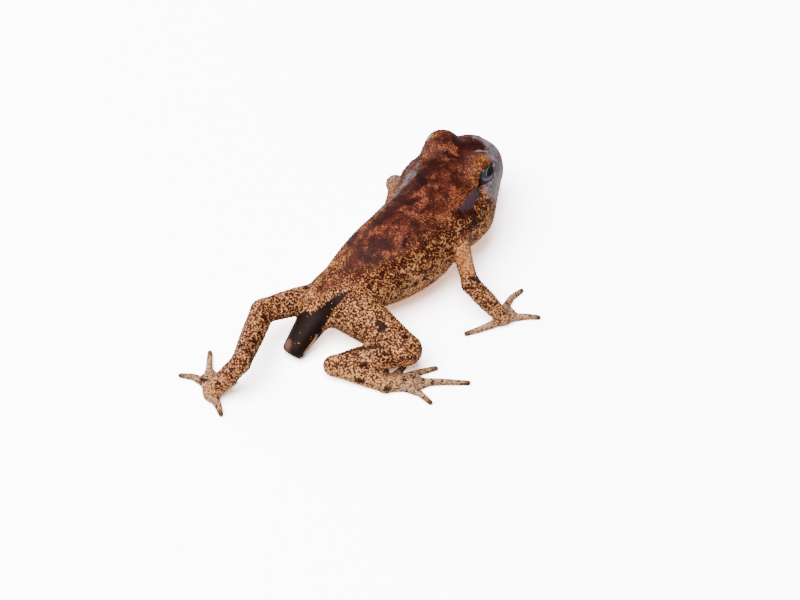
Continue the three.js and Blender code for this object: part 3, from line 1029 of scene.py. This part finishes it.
def build_grain_group():
    """Uneven flecks over a darker net: where the flecks and the net are, a second shade, relief."""
    inputs = {"Scale": 9000.0, "Fill": 0.5}
    outputs = {"Mask": "Float", "Net": "Float", "Shade": "Float", "Height": "Float"}
    tree, w, given, out = new_group("Skin grains", inputs, outputs)
    noise = w.noise_outputs(given["Scale"], detail=1.5, roughness=0.55)
    shade = w.node("ShaderNodeSeparateColor", {"Color": noise["Color"]})
    value = w.linear(w.math("SUBTRACT", given["Fill"], 0.5), 0.3, noise["Fac"])
    w.feed(out["Mask"], w.step(value, *SPAN["fleck"]))
    w.feed(out["Net"], w.step(value, *SPAN["net"]))
    w.feed(out["Shade"], w.step(shade.outputs[1], *SPAN["fleck_shade"]))
    w.feed(out["Height"], w.step(value, *SPAN["fleck_height"]))
    return tree


def build_blotch_group():
    """A field given on the skin, with its edge broken up by noise."""
    inputs = {"Field": 0.0, "Scale": 2500.0, "Raggedness": 0.3, "Softness": 0.05}
    tree, w, given, out = new_group("Ragged patch", inputs, {"Mask": "Float"})
    rough = w.math("SUBTRACT", w.noise(given["Scale"], detail=4.0, roughness=0.6), 0.5)
    value = w.linear(rough, given["Raggedness"], given["Field"])
    below = w.times(given["Softness"], -1.0)
    w.feed(out["Mask"], w.step(value, below, given["Softness"]))
    return tree


def place_group(w, tree, **inputs):
    made = w.node("ShaderNodeGroup", node_tree=tree)
    for key, value in inputs.items():
        w.feed(made.inputs[key], value)
    return made.outputs


# The markings' edges: scale of the breaks in them, how ragged they are, how soft.
MARK_EDGES = {
    "plum_and_shade": (1700.0, 1.0, 0.2),
    "gold": (3500.0, 1.0, 0.22),
    "blot": (3500.0, 0.6, 0.12),
    "grey_and_sheen": (2200.0, 0.7, 0.22),
    "tail": (4500.0, 0.3, 0.05),
    "tan": (3000.0, 0.3, 0.16),
    "pale": (4000.0, 0.15, 0.05),
    "mask": (2500.0, 0.15, 0.06),
    "dark": (5200.0, 0.6, 0.06),
    "pale_line_and_highlight": (5000.0, 0.1, 0.04),
}
# Markings laid over all others in this order, with their colour and strength.
TOP_MARKS = {
    "tan": ("digit", 0.7),
    "pale": ("cream", 0.85),
    "mask": ("mauve", 0.92),
    "dark": ("dark", 0.92),
    "pale_line_and_highlight": ("rose", 0.75),
}
COARSE_SCALE = 10200.0
FINE_SCALE = 13000.0
SPECK = {"Scale": 7000.0, "Fill": -0.15}
MOTTLE = {"Field": -0.02, "Scale": 1500.0, "Raggedness": 1.1, "Softness": 0.1}
BAND_RATE = 13.0
BAND_WANDER = 4.0
FLANK_FILL = 0.28
# How strongly each of these tints what lies below it.
STRENGTH = {
    "mottle": 0.75,
    "plum_and_shade": 0.85,
    "net": 0.92,
    "fine_net": 0.65,
    "gold": 0.75,
    "blot": 0.85,
    "toe": 0.75,
}
RELIEF_DEPTH = 0.03 * MM


def marked(w, patch, name, scale, ragged, soft):
    """Mask of one kind of marking, with a ragged edge."""
    inputs = {"Field": w.field(name), "Scale": scale, "Raggedness": ragged, "Softness": soft}
    return place_group(w, patch, **inputs)["Mask"]


def skin_material(settings, grains, patch):
    """Moist skin: rusty back, speckled flanks and legs, dark markings, dark tail, with painted sheen,
    painted highlight, painted shade and painted bounce light from the floor.
    """
    material, w = new_material("moist_skin")
    colour = {name: (*getattr(settings, name), 1.0) for name in SKIN_COLOURS}
    lift, limb, digit = w.field("lift"), w.field("limb"), w.field("digit")
    side = w.most(w.step(lift, *SPAN["side"]), limb)
    low = w.most(w.step(lift, *SPAN["low"]), w.times(limb, 0.8))
    raised = w.step(w.field("raised"), *SPAN["raised"])
    own = w.field("shade")

    mottle = place_group(w, patch, **MOTTLE)["Mask"]
    mask = {name: marked(w, patch, name, *edge) for name, edge in MARK_EDGES.items()}
    # Painted shade mixed with pigment: plum on the left of the back and the left jaw; pigment on the snout.
    plum_and_shade = w.times(mask["plum_and_shade"], STRENGTH["plum_and_shade"])
    shade = w.most(w.times(mottle, STRENGTH["mottle"]), plum_and_shade)
    back = w.mix(shade, colour["rust"], colour["plum"])
    clump = w.step(w.noise(CLOUDS["clump"]), *SPAN["clump"])
    clump = w.linear(shade, -0.3, clump)
    fine = place_group(w, grains, Scale=FINE_SCALE, Fill=clump)
    back = w.mix(w.times(fine["Net"], STRENGTH["fine_net"]), back, colour["plum"])
    fleck = w.mix(fine["Shade"], colour["rust"], colour["orange"])
    back = w.mix(w.times(fine["Mask"], w.step(clump, *SPAN["clump_fleck"])), back, fleck)

    cloud = w.step(w.noise(CLOUDS["cloud"]), *SPAN["cloud"])
    cloud = w.times(cloud, w.linear(limb, -0.5, 1.0))
    share = w.plus(w.linear(low, 0.15, cloud), FLANK_FILL)
    under = w.times(w.step(lift, *SPAN["under"]), w.math("SUBTRACT", 1.0, limb))
    share = w.linear(under, 0.3, share)
    # Painted bounce light from the floor: more pale flecks on skin close to the floor.
    height = w.node("ShaderNodeSeparateXYZ", {"Vector": w.place()}).outputs["Z"]
    share = w.plus(share, w.step(height, *SPAN["floor_bounce_light"]))
    coarse = place_group(w, grains, Scale=COARSE_SCALE, Fill=share)
    middle = w.mix(low, colour["russet"], colour["tan"])
    pearly = w.times(low, w.linear(coarse["Shade"], 0.5, 0.5))
    light = w.mix(pearly, colour["amber"], colour["cream"])
    pale = w.most(coarse["Mask"], w.times(raised, w.step(own, *SPAN["granule_shade"])))
    net = w.times(coarse["Net"], w.linear(raised, -0.7, 1.0))
    flank = w.mix(w.times(net, STRENGTH["net"]), w.mix(pale, middle, light), colour["umber"])
    # The same plum, partly painted shade, also darkens the flanks there.
    base = w.mix(w.times(plum_and_shade, 0.6), w.mix(side, back, flank), colour["plum"])

    warm = w.mix(limb, colour["gold"], colour["amber"])
    glint = w.mix(limb, colour["amber"], colour["cream"])
    gaps = w.times(coarse["Net"], w.linear(limb, -0.2, 0.9))
    golden = w.mix(gaps, w.mix(fine["Mask"], warm, glint), colour["umber"])
    base = w.mix(w.times(mask["gold"], STRENGTH["gold"]), base, golden)
    base = w.mix(w.times(mask["blot"], STRENGTH["blot"]), base, colour["plum"])

    base = w.mix(w.step(lift, *SPAN["belly"]), base, colour["belly"])
    wave = w.linear(w.field("tip"), BAND_RATE, w.times(w.noise(CLOUDS["toe_bands"]), BAND_WANDER))
    bands = w.step(w.math("SINE", wave), *SPAN["toe_bands"])
    banded = w.mix(bands, colour["digit"], colour["umber"])
    chalky = w.mix(0.55, colour["belly"], colour["cream"])
    toes = w.mix(w.times(coarse["Mask"], STRENGTH["toe"]), banded, chalky)
    toes = w.mix(w.step(w.field("tip"), *SPAN["toe_tip"]), toes, colour["plum"])
    base = w.mix(digit, base, toes)
    # Painted sheen of moist skin over grey see-through skin: slate and mauve streaks, weaker over pale
    # flecks.
    streaks = w.step(w.noise(CLOUDS["grey_sheen_tone"], detail=5.0), *SPAN["grey_sheen_tone"])
    grey_sheen_tone = w.mix(streaks, colour["slate"], colour["mauve"])
    sheen_strength = w.linear(coarse["Mask"], -0.15, 0.86)
    base = w.mix(w.times(mask["grey_and_sheen"], sheen_strength), base, grey_sheen_tone)
    specks = place_group(w, grains, **SPECK)["Mask"]
    base = w.mix(mask["tail"], base, w.mix(specks, colour["tail"], colour["amber"]))
    # The light line along the fold and round the lid is partly painted highlight, and the dark line along
    # the left of the rump is painted shade.
    for name, (tone, strength) in TOP_MARKS.items():
        base = w.mix(w.times(mask[name], strength), base, colour[tone])
    base = w.mix(w.step(w.field("ear"), *SPAN["ear"]), base, colour["plum"])
    base = w.mix(w.step(w.field("mouth"), *SPAN["mouth"]), base, colour["dark"])

    # Painted shade: the skin turns plum towards its outline, where it faces away from the camera.
    rim = w.node("ShaderNodeLayerWeight", {"Blend": 0.35}).outputs["Facing"]
    base = w.mix(w.step(rim, *SPAN["rim"]), base, colour["plum"])

    smooth_parts = w.most(mask["tail"], w.most(mask["grey_and_sheen"], mask["mask"]))
    relief = w.linear(fine["Height"], 0.3, w.times(coarse["Height"], side))
    relief = w.times(relief, w.linear(smooth_parts, -0.8, 1.0))
    relief = w.linear(w.noise(CLOUDS["relief"]), 1.0, relief)
    bump = w.node("ShaderNodeBump", {"Height": relief, "Strength": 0.7, "Distance": RELIEF_DEPTH})
    rough = w.linear(w.noise(CLOUDS["gloss"]), 0.2, 0.42)
    shader = w.node("ShaderNodeBsdfPrincipled", {
        "Base Color": base, "Roughness": rough, "Specular IOR Level": 0.1, "Coat Roughness": 0.2,
        "Coat Weight": w.times(mask["grey_and_sheen"], 0.5), "Normal": bump.outputs[0]})
    w.node("ShaderNodeOutputMaterial", {"Surface": shader.outputs[0]})
    return material


SKIN_COLOURS = {
    "rust": ("642E1F", "the back"),
    # Plum also paints shade: along the left of the back and on the left jaw, and at the outline where the
    # skin turns away from the camera.
    "plum": ("2A0B07", "dark mottling on the back"),
    "orange": ("AE6442", "fine flecks on the back"),
    "umber": ("300803", "dark net on flanks and legs"),
    "russet": ("6C361F", "high flanks"),
    "tan": ("824C33", "low flanks and legs"),
    "amber": ("DA8E54", "golden grains"),
    "cream": ("FFBA7C", "pale grains"),
    "gold": ("A8682E", "golden places"),
    "belly": ("C8A890", "belly and undersides"),
    "digit": ("8C6650", "fingers and toes"),
    # Slate is grey see-through skin with painted sheen on it, streaked with mauve.
    "slate": ("827A80", "wet grey skin"),
    "mauve": ("40323A", "mask behind the eye"),
    # Rose paints the light line: pale skin with painted highlight along the fold, painted highlight round
    # the front of the lid.
    "rose": ("C09A90", "light line along the fold"),
    "tail": ("20100C", "tail stub"),
    # Dark also paints shade: the thin line along the left edge of the rump.
    "dark": ("1E0806", "dark markings"),
}


def colour_property(name, code, what):
    what = f"Colour of {what}"
    return bpy.props.FloatVectorProperty(
        name=name, description=what, subtype="COLOR", size=3, min=0, max=1, default=tint(code)
    )


class FrogletSkinSettings(bpy.types.PropertyGroup):
    """Sizes and colours of the skin."""

    step: bpy.props.FloatProperty(
        name="Face size", description="Size of the skin's faces", default=0.088 * MM, unit="LENGTH"
    )
    rust: colour_property("Rust", *SKIN_COLOURS["rust"])
    plum: colour_property("Plum", *SKIN_COLOURS["plum"])
    orange: colour_property("Orange", *SKIN_COLOURS["orange"])
    umber: colour_property("Umber", *SKIN_COLOURS["umber"])
    russet: colour_property("Russet", *SKIN_COLOURS["russet"])
    tan: colour_property("Tan", *SKIN_COLOURS["tan"])
    amber: colour_property("Amber", *SKIN_COLOURS["amber"])
    cream: colour_property("Cream", *SKIN_COLOURS["cream"])
    gold: colour_property("Gold", *SKIN_COLOURS["gold"])
    belly: colour_property("Belly", *SKIN_COLOURS["belly"])
    digit: colour_property("Digits", *SKIN_COLOURS["digit"])
    slate: colour_property("Slate", *SKIN_COLOURS["slate"])
    mauve: colour_property("Mauve", *SKIN_COLOURS["mauve"])
    rose: colour_property("Rose", *SKIN_COLOURS["rose"])
    tail: colour_property("Tail", *SKIN_COLOURS["tail"])
    dark: colour_property("Dark", *SKIN_COLOURS["dark"])


class FrogletGranuleSettings(bpy.types.PropertyGroup):
    """Sizes of the granules on flanks and legs."""

    spacing: bpy.props.FloatProperty(
        name="Spacing", description="Least distance between granules", default=0.122 * MM, unit="LENGTH"
    )
    radius: bpy.props.FloatProperty(
        name="Radius", description="Half width of a large granule", default=0.066 * MM, unit="LENGTH"
    )
    height: bpy.props.FloatProperty(
        name="Height", description="How far a granule stands up, as a share of its radius",
        default=0.45, subtype="FACTOR"
    )
    seed: bpy.props.IntProperty(name="Seed", description="Changes where the granules lie", default=4)


class FrogletEyeSettings(bpy.types.PropertyGroup):
    """Sizes and colours of the eyes."""

    pupil: bpy.props.FloatProperty(
        name="Pupil", description="Length of the pupil", default=0.62 * MM, unit="LENGTH"
    )
    iris: colour_property("Iris", "46424E", "the iris")
    dark: colour_property("Pupil colour", "0C100C", "the pupil")
    ring: colour_property("Ring", "A8A070", "the thin ring round the pupil")


class FrogletStageSettings(bpy.types.PropertyGroup):
    """Camera, floor and lights."""

    distance: bpy.props.FloatProperty(
        name="Distance", description="From the camera to the floor", default=0.15, unit="LENGTH"
    )
    azimuth: bpy.props.FloatProperty(
        name="Azimuth", description="Heading of the view, left of the frog's own",
        default=math.radians(41.495), subtype="ANGLE"
    )
    elevation: bpy.props.FloatProperty(
        name="Elevation", description="Camera above the horizon",
        default=math.radians(48.6), subtype="ANGLE"
    )
    floor: colour_property("Floor", "E2E0E1", "the floor")
    exposure: bpy.props.FloatProperty(
        name="Exposure", description="How much brighter the camera sees the floor",
        default=7.9, subtype="FACTOR"
    )


# ---- operators ----------------------------------------------------------------------------------


class FROGLET_OT_skin(bpy.types.Operator):
    """Grow one skin over the head, trunk, tail, limbs and digits"""

    bl_idname = "froglet.skin"
    bl_label = "Skin"

    def execute(self, context):
        settings = context.scene.froglet_skin
        flesh = [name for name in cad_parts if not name.startswith("eye_")]
        boxes = np.array([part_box(name) for name in flesh]) / MM - SHIFT
        low, high = boxes[:, 0].min(0) - FLESH_MARGIN, boxes[:, 1].max(0) + FLESH_MARGIN
        step = settings.step / MM
        values = distance_grid(low, high, step)
        points, faces = surface_nets(values, low, step)
        mesh = bpy.data.meshes.new("skin")
        mesh.from_pydata(((points + SHIFT) * MM).tolist(), [], faces.tolist())
        mesh.validate()
        points = settle(mesh_points(mesh) / MM - SHIFT)
        put_points(mesh, (points + SHIFT) * MM)
        refine(mesh, on_fine_head)
        points = settle(mesh_points(mesh) / MM - SHIFT)
        points[:, 2] = np.maximum(points[:, 2], 0)
        put_points(mesh, (points + SHIFT) * MM)
        mesh.shade_smooth()
        for name, values in skin_fields(points).items():
            store(mesh, name, values)
        mesh.update()
        made = new_object("skin", mesh)
        made.data.materials.append(skin_material(settings, build_grain_group(), build_blotch_group()))
        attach(made, "root")
        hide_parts(*flesh)
        return {"FINISHED"}


def build_granule_tree():
    """Low domes strewn over a mesh where its "grainy" value is high, each with a shade of its own."""
    tree = bpy.data.node_groups.new("Granules on skin", "GeometryNodeTree")
    sockets = [("Skin", "Geometry", None), ("Spacing", "Float", 0.0001), ("Radius", "Float", 0.00005),
               ("Height", "Float", 0.5), ("Seed", "Int", 0), ("Material", "Material", None)]
    for label, kind, default in sockets:
        socket = tree.interface.new_socket(name=label, in_out="INPUT", socket_type=f"NodeSocket{kind}")
        if default is not None:
            socket.default_value = default
    tree.interface.new_socket(name="Granules", in_out="OUTPUT", socket_type="NodeSocketGeometry")
    w = Wiring(tree)
    given = w.node("NodeGroupInput").outputs

    def random(low, high, seed):
        seed = w.plus(given["Seed"], seed)
        made = w.node("FunctionNodeRandomValue", data_type="FLOAT")
        for name, value in (("Min_001", low), ("Max_001", high), ("Seed", seed)):
            w.feed(identified(made.inputs, name), value)
        return identified(made.outputs, "Value_001")

    def stored(geometry, name, value, kind):
        target = {"Geometry": geometry, "Name": name}
        made = w.node("GeometryNodeStoreNamedAttribute", target, data_type=kind)
        w.feed(next(s for s in made.inputs if s.name == "Value" and s.enabled), value)
        return made.outputs["Geometry"]

    grainy = w.node("GeometryNodeInputNamedAttribute", {"Name": "grainy"}, data_type="FLOAT")
    most = w.math("DIVIDE", 1.0, w.times(given["Spacing"], given["Spacing"]))
    points = w.node(
        "GeometryNodeDistributePointsOnFaces",
        {"Mesh": given["Skin"], "Distance Min": given["Spacing"], "Seed": given["Seed"],
         "Density Max": w.times(most, 2.0), "Density Factor": grainy.outputs["Attribute"]},
        distribute_method="POISSON")
    place = w.node("GeometryNodeInputPosition").outputs[0]
    strewn = stored(points.outputs["Points"], "shade", random(0.0, 1.0, 1), "FLOAT")
    strewn = stored(strewn, "root", place, "FLOAT_VECTOR")
    strewn = stored(strewn, "out", points.outputs["Normal"], "FLOAT_VECTOR")

    dome = w.node("GeometryNodeMeshCone", {"Vertices": 6, "Side Segments": 2, "Radius Top": 0.0,
                                           "Radius Bottom": 1.0, "Depth": 1.0}, fill_type="NGON")
    split = w.node("ShaderNodeSeparateXYZ", {0: place})
    across = w.node("ShaderNodeCombineXYZ", {"X": split.outputs["X"], "Y": split.outputs["Y"], "Z": 0.0})
    reach = w.node("ShaderNodeVectorMath", {0: across.outputs[0], 1: across.outputs[0]},
                   operation="DOT_PRODUCT").outputs["Value"]
    high = w.math("SUBTRACT", 1.0, reach)
    sunk = w.linear(high, 1.2, -0.2)
    rounded = w.node("ShaderNodeCombineXYZ", {"X": split.outputs["X"], "Y": split.outputs["Y"], "Z": sunk})
    shaped = w.node("GeometryNodeSetPosition",
                    {"Geometry": dome.outputs["Mesh"], "Position": rounded.outputs[0]})
    local = stored(shaped.outputs[0], "local", across.outputs[0], "FLOAT_VECTOR")
    local = stored(local, "raised", high, "FLOAT")
    soft = w.node("GeometryNodeSetShadeSmooth", {"Geometry": local})

    spin = w.node("ShaderNodeCombineXYZ", {"X": 0.0, "Y": 0.0, "Z": random(0.0, math.tau, 2)})
    turned = w.node("FunctionNodeRotateRotation", rotation_space="LOCAL")
    w.feed(turned.inputs["Rotation"], points.outputs["Rotation"])
    w.feed(turned.inputs["Rotate By"], spin.outputs[0])
    size = w.times(given["Radius"], random(0.62, 1.1, 3))
    scale = w.node("ShaderNodeCombineXYZ", {
        "X": size, "Y": w.times(size, random(0.6, 1.0, 4)),
        "Z": w.times(size, given["Height"])})
    placed = w.node("GeometryNodeInstanceOnPoints", {
        "Points": strewn, "Instance": soft.outputs[0], "Rotation": turned.outputs[0],
        "Scale": scale.outputs[0]})
    real = w.node("GeometryNodeRealizeInstances", {"Geometry": placed.outputs[0]})
    dressing = {"Geometry": real.outputs[0], "Material": given["Material"]}
    dressed = w.node("GeometryNodeSetMaterial", dressing)
    leave = w.node("NodeGroupOutput")
    w.feed(leave.inputs["Granules"], dressed.outputs[0])
    return tree


# Size of a granule's patch on the map, and the part of each chart that is used.
PATCH = 0.003
CHART_FILL = 0.98
CHART_EDGE = 0.01


def bake_map(mesh):
    """A UV map where each granule is a small patch at its root's place on an unwrap of the skin."""
    count = len(mesh.vertices)
    values = {}
    for name in ("root", "out", "local"):
        flat = np.empty(count * 3, np.float32)
        mesh.attributes[name].data.foreach_get("vector", flat)
        values[name] = flat.reshape(-1, 3)
    root = (values["root"] - np.array(CAD_BOX[0])) / np.max(np.array(CAD_BOX[1]) - np.array(CAD_BOX[0]))
    main = np.abs(values["out"]).argmax(1)
    sign = values["out"][np.arange(count), main] > 0
    first = np.where(main == 1, 0, 1)
    second = np.where(main == 2, 0, 2)
    across = root[np.arange(count), first]
    upward = root[np.arange(count), second]
    chart = np.stack([main + across, sign + upward], 1) / [3, 2] * CHART_FILL + CHART_EDGE
    uv = chart + values["local"][:, :2] * PATCH / 2
    layer = mesh.uv_layers.new(name="OFBake")
    corners = np.empty(len(mesh.loops), np.int32)
    mesh.loops.foreach_get("vertex_index", corners)
    layer.data.foreach_set("uv", uv[corners].astype(np.float32).ravel())
    for name in ("root", "out", "local"):
        mesh.attributes.remove(mesh.attributes[name])


class FROGLET_OT_granules(bpy.types.Operator):
    """Strew the low granules over the flanks and legs"""

    bl_idname = "froglet.granules"
    bl_label = "Granules"

    def execute(self, context):
        settings = context.scene.froglet_granules
        skin = bpy.data.objects.get("skin")
        if skin is None:
            raise RuntimeError("make the skin first")
        material = skin.data.materials[0]
        tree = build_granule_tree()
        draft = new_object("granule_draft", skin.data)
        modifier = draft.modifiers.new("granules", "NODES")
        modifier.node_group = tree
        wanted = {"Spacing": settings.spacing, "Radius": settings.radius, "Height": settings.height,
                  "Seed": settings.seed, "Material": material}
        for item in tree.interface.items_tree:
            if item.in_out == "INPUT" and item.name in wanted:
                modifier[item.identifier] = wanted[item.name]
        graph = context.evaluated_depsgraph_get()
        graph.update()
        ready = draft.evaluated_get(graph)
        mesh = bpy.data.meshes.new_from_object(ready, preserve_all_data_layers=True, depsgraph=graph)
        mesh.name = "granules"
        draft.modifiers.remove(modifier)
        bpy.data.objects.remove(draft)
        bake_map(mesh)
        made = new_object("granules", mesh)
        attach(made, "root")
        return {"FINISHED"}


GAZE_TURN = math.radians(20)
PUPIL_NARROW = 0.52
CORNEA_BULGE = 0.035
CORNEA_SPAN = (0.55, 1.0)
EYE_SEGMENTS = (64, 40)


def gaze(side):
    """Direction in which an eye looks: towards the front of its opening."""
    middle, long_way, _ = opening_frame(side)
    return middle * math.cos(GAZE_TURN) + long_way * math.sin(GAZE_TURN)


def sphere_mesh(name):
    """A unit sphere whose points and faces always come in the same order."""
    around, up = EYE_SEGMENTS
    polar = math.pi * np.arange(1, up)[:, None] / up
    turn = math.tau * np.arange(around)[None, :] / around
    flat, high = np.sin(polar), np.cos(polar) + 0 * turn
    rings = np.stack([flat * np.cos(turn), flat * np.sin(turn), high], -1)
    points = [(0, 0, 1), *rings.reshape(-1, 3).tolist(), (0, 0, -1)]
    faces = []
    for j in range(around):
        k = (j + 1) % around
        faces.append((0, 1 + j, 1 + k))
        for start in range(1, len(points) - 1 - around, around):
            faces.append((start + j, start + around + j, start + around + k, start + k))
        faces.append((len(points) - 1 - around + k, len(points) - 1 - around + j, len(points) - 1))
    mesh = bpy.data.meshes.new(name)
    mesh.from_pydata(points, [], faces)
    return mesh


def eye_material(settings):
    material, w = new_material("eye_gloss")
    along, aside = w.field("along"), w.field("aside")
    half = settings.pupil / MM / 2
    length = w.math("DIVIDE", along, half)
    width = w.math("DIVIDE", aside, half * PUPIL_NARROW)
    radius = w.math("SQRT", w.plus(w.times(length, length), w.times(width, width)))
    ring = w.times(w.step(radius, *SPAN["ring_inside"]), w.step(radius, *SPAN["ring_outside"]))
    ring = w.times(ring, w.step(aside, *SPAN["ring_above"]))
    iris = w.mix(w.step(w.noise(CLOUDS["iris"]), *SPAN["iris"]), (*settings.iris, 1), (*settings.dark, 1))
    base = w.mix(w.step(radius, *SPAN["pupil"]), iris, (*settings.dark, 1))
    base = w.mix(ring, base, (*settings.ring, 1))
    shader = w.node("ShaderNodeBsdfPrincipled", {"Base Color": base, "Roughness": 0.12, "Coat Weight": 1.0,
                                                 "Coat Roughness": 0.03})
    w.node("ShaderNodeOutputMaterial", {"Surface": shader.outputs[0]})
    return material


class FROGLET_OT_eyes(bpy.types.Operator):
    """Make the two glossy eyes"""

    bl_idname = "froglet.eyes"
    bl_label = "Eyes"

    def execute(self, context):
        material = eye_material(context.scene.froglet_eyes)
        for side, name in ((-1, "left"), (1, "right")):
            mesh = sphere_mesh(f"eyeball_{name}")
            look = gaze(side)
            rise = opening_frame(side)[2]
            level = np.cross(look, rise)
            p = mesh_points(mesh)
            facing = p @ look
            along = np.arctan2(p @ level, facing)
            aside = np.arctan2(p @ rise, facing)
            bulge = 1 + CORNEA_BULGE * smooth(facing, *CORNEA_SPAN)
            centre = node_centre(f"eye_{name}")
            put_points(mesh, p * bulge[:, None] * EYE_RADIUS * MM + centre)
            store(mesh, "along", along * EYE_RADIUS)
            store(mesh, "aside", aside * EYE_RADIUS)
            mesh.shade_smooth()
            made = new_object(f"eyeball_{name}", mesh)
            made.data.materials.append(material)
            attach(made, "root")
            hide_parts(f"eye_{name}")
        return {"FINISHED"}


CAMERA_AIM = (-0.6234, 1.0247)
LENS = 125.7
SENSOR = 36
CLIP = (0.01, 10)
FLOOR_SIZE = 4
SKY = 0.14
# Lights: metres behind the frog as the camera sees it, to the right and up, size and power.
LIGHTS = {"key": (0.06, -0.12, 0.38, 0.42, 3.6), "rim": (-0.25, -0.3, 0.12, 0.25, 0.9)}


def aim_at(made, place, direction):
    made.location = place
    made.rotation_mode = "QUATERNION"
    made.rotation_quaternion = direction.to_track_quat("-Z", "Y")


def area_light(name, place, size, power):
    data = bpy.data.lights.new(name, "AREA")
    data.shape = "DISK"
    data.size = size
    data.energy = power
    aim_at(new_object(name, data), place, -place)


def floor_material(settings):
    """Pale paper, exposed brighter for the camera than for the light it throws on the frog."""
    material, w = new_material("pale_floor")
    soft = w.node("ShaderNodeBsdfDiffuse", {"Color": (*settings.floor, 1)})
    bright = [c * settings.exposure for c in settings.floor]
    seen = w.node("ShaderNodeBsdfDiffuse", {"Color": (*bright, 1)})
    camera_ray = w.node("ShaderNodeLightPath").outputs["Is Camera Ray"]
    mix = w.node("ShaderNodeMixShader", {0: camera_ray, 1: soft.outputs[0], 2: seen.outputs[0]})
    w.node("ShaderNodeOutputMaterial", {"Surface": mix.outputs[0]})
    return material


class FROGLET_OT_stage(bpy.types.Operator):
    """Set up the floor, the lights and the camera"""

    bl_idname = "froglet.stage"
    bl_label = "Stage"

    def execute(self, context):
        settings = context.scene.froglet_stage
        bpy.ops.mesh.primitive_plane_add(size=FLOOR_SIZE)
        floor = context.active_object
        floor.name = "floor"
        floor.data.materials.append(floor_material(settings))
        world = bpy.data.worlds.new("studio")
        world.use_nodes = True
        sky = world.node_tree.nodes["Background"]
        sky.inputs["Color"].default_value = (1.0, 1.0, 1.0, 1)
        sky.inputs["Strength"].default_value = SKY
        context.scene.world = world
        turn = settings.azimuth
        back = Vector((math.sin(turn), -math.cos(turn), 0))
        right = Vector((math.cos(turn), math.sin(turn), 0))
        up = Vector((0, 0, 1))
        for name, (behind, aside, above, size, power) in LIGHTS.items():
            area_light(name, back * behind + right * aside + up * above, size, power)
        aim = Vector((CAMERA_AIM[0], CAMERA_AIM[1], 0)) * MM
        rise = settings.elevation
        toward = back * math.cos(rise) + up * math.sin(rise)
        data = bpy.data.cameras.new("camera")
        data.lens = LENS
        data.sensor_width = SENSOR
        data.clip_start, data.clip_end = CLIP
        camera = new_object("camera", data)
        aim_at(camera, aim + toward * settings.distance, -toward)
        context.scene.camera = camera
        return {"FINISHED"}


class FROGLET_PT_panel(bpy.types.Panel):
    """The froglet's pieces in the sidebar"""

    bl_idname = "FROGLET_PT_panel"
    bl_label = "Froglet"
    bl_space_type = "VIEW_3D"
    bl_region_type = "UI"
    bl_category = "Froglet"

    def draw(self, context):
        for group, operator in PIECES:
            settings = getattr(context.scene, group)
            box = self.layout.box()
            for name in settings.bl_rna.properties.keys():
                if name not in ("rna_type", "name"):
                    box.prop(settings, name)
            box.operator(operator)


PIECES = [
    ("froglet_skin", "froglet.skin"),
    ("froglet_granules", "froglet.granules"),
    ("froglet_eyes", "froglet.eyes"),
    ("froglet_stage", "froglet.stage"),
]
SETTINGS = {
    "froglet_skin": FrogletSkinSettings,
    "froglet_granules": FrogletGranuleSettings,
    "froglet_eyes": FrogletEyeSettings,
    "froglet_stage": FrogletStageSettings,
}
OPERATORS = [FROGLET_OT_skin, FROGLET_OT_granules, FROGLET_OT_eyes, FROGLET_OT_stage]
CLASSES = [*SETTINGS.values(), *OPERATORS, FROGLET_PT_panel]


def register():
    for cls in CLASSES:
        bpy.utils.register_class(cls)
    for name, cls in SETTINGS.items():
        setattr(bpy.types.Scene, name, bpy.props.PointerProperty(type=cls))


def unregister():
    for name in SETTINGS:
        delattr(bpy.types.Scene, name)
    for cls in reversed(CLASSES):
        bpy.utils.unregister_class(cls)


def main():
    register()
    bpy.ops.froglet.skin()
    bpy.ops.froglet.granules()
    bpy.ops.froglet.eyes()
    bpy.ops.froglet.stage()
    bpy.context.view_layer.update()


if __name__ == "__main__":
    main()
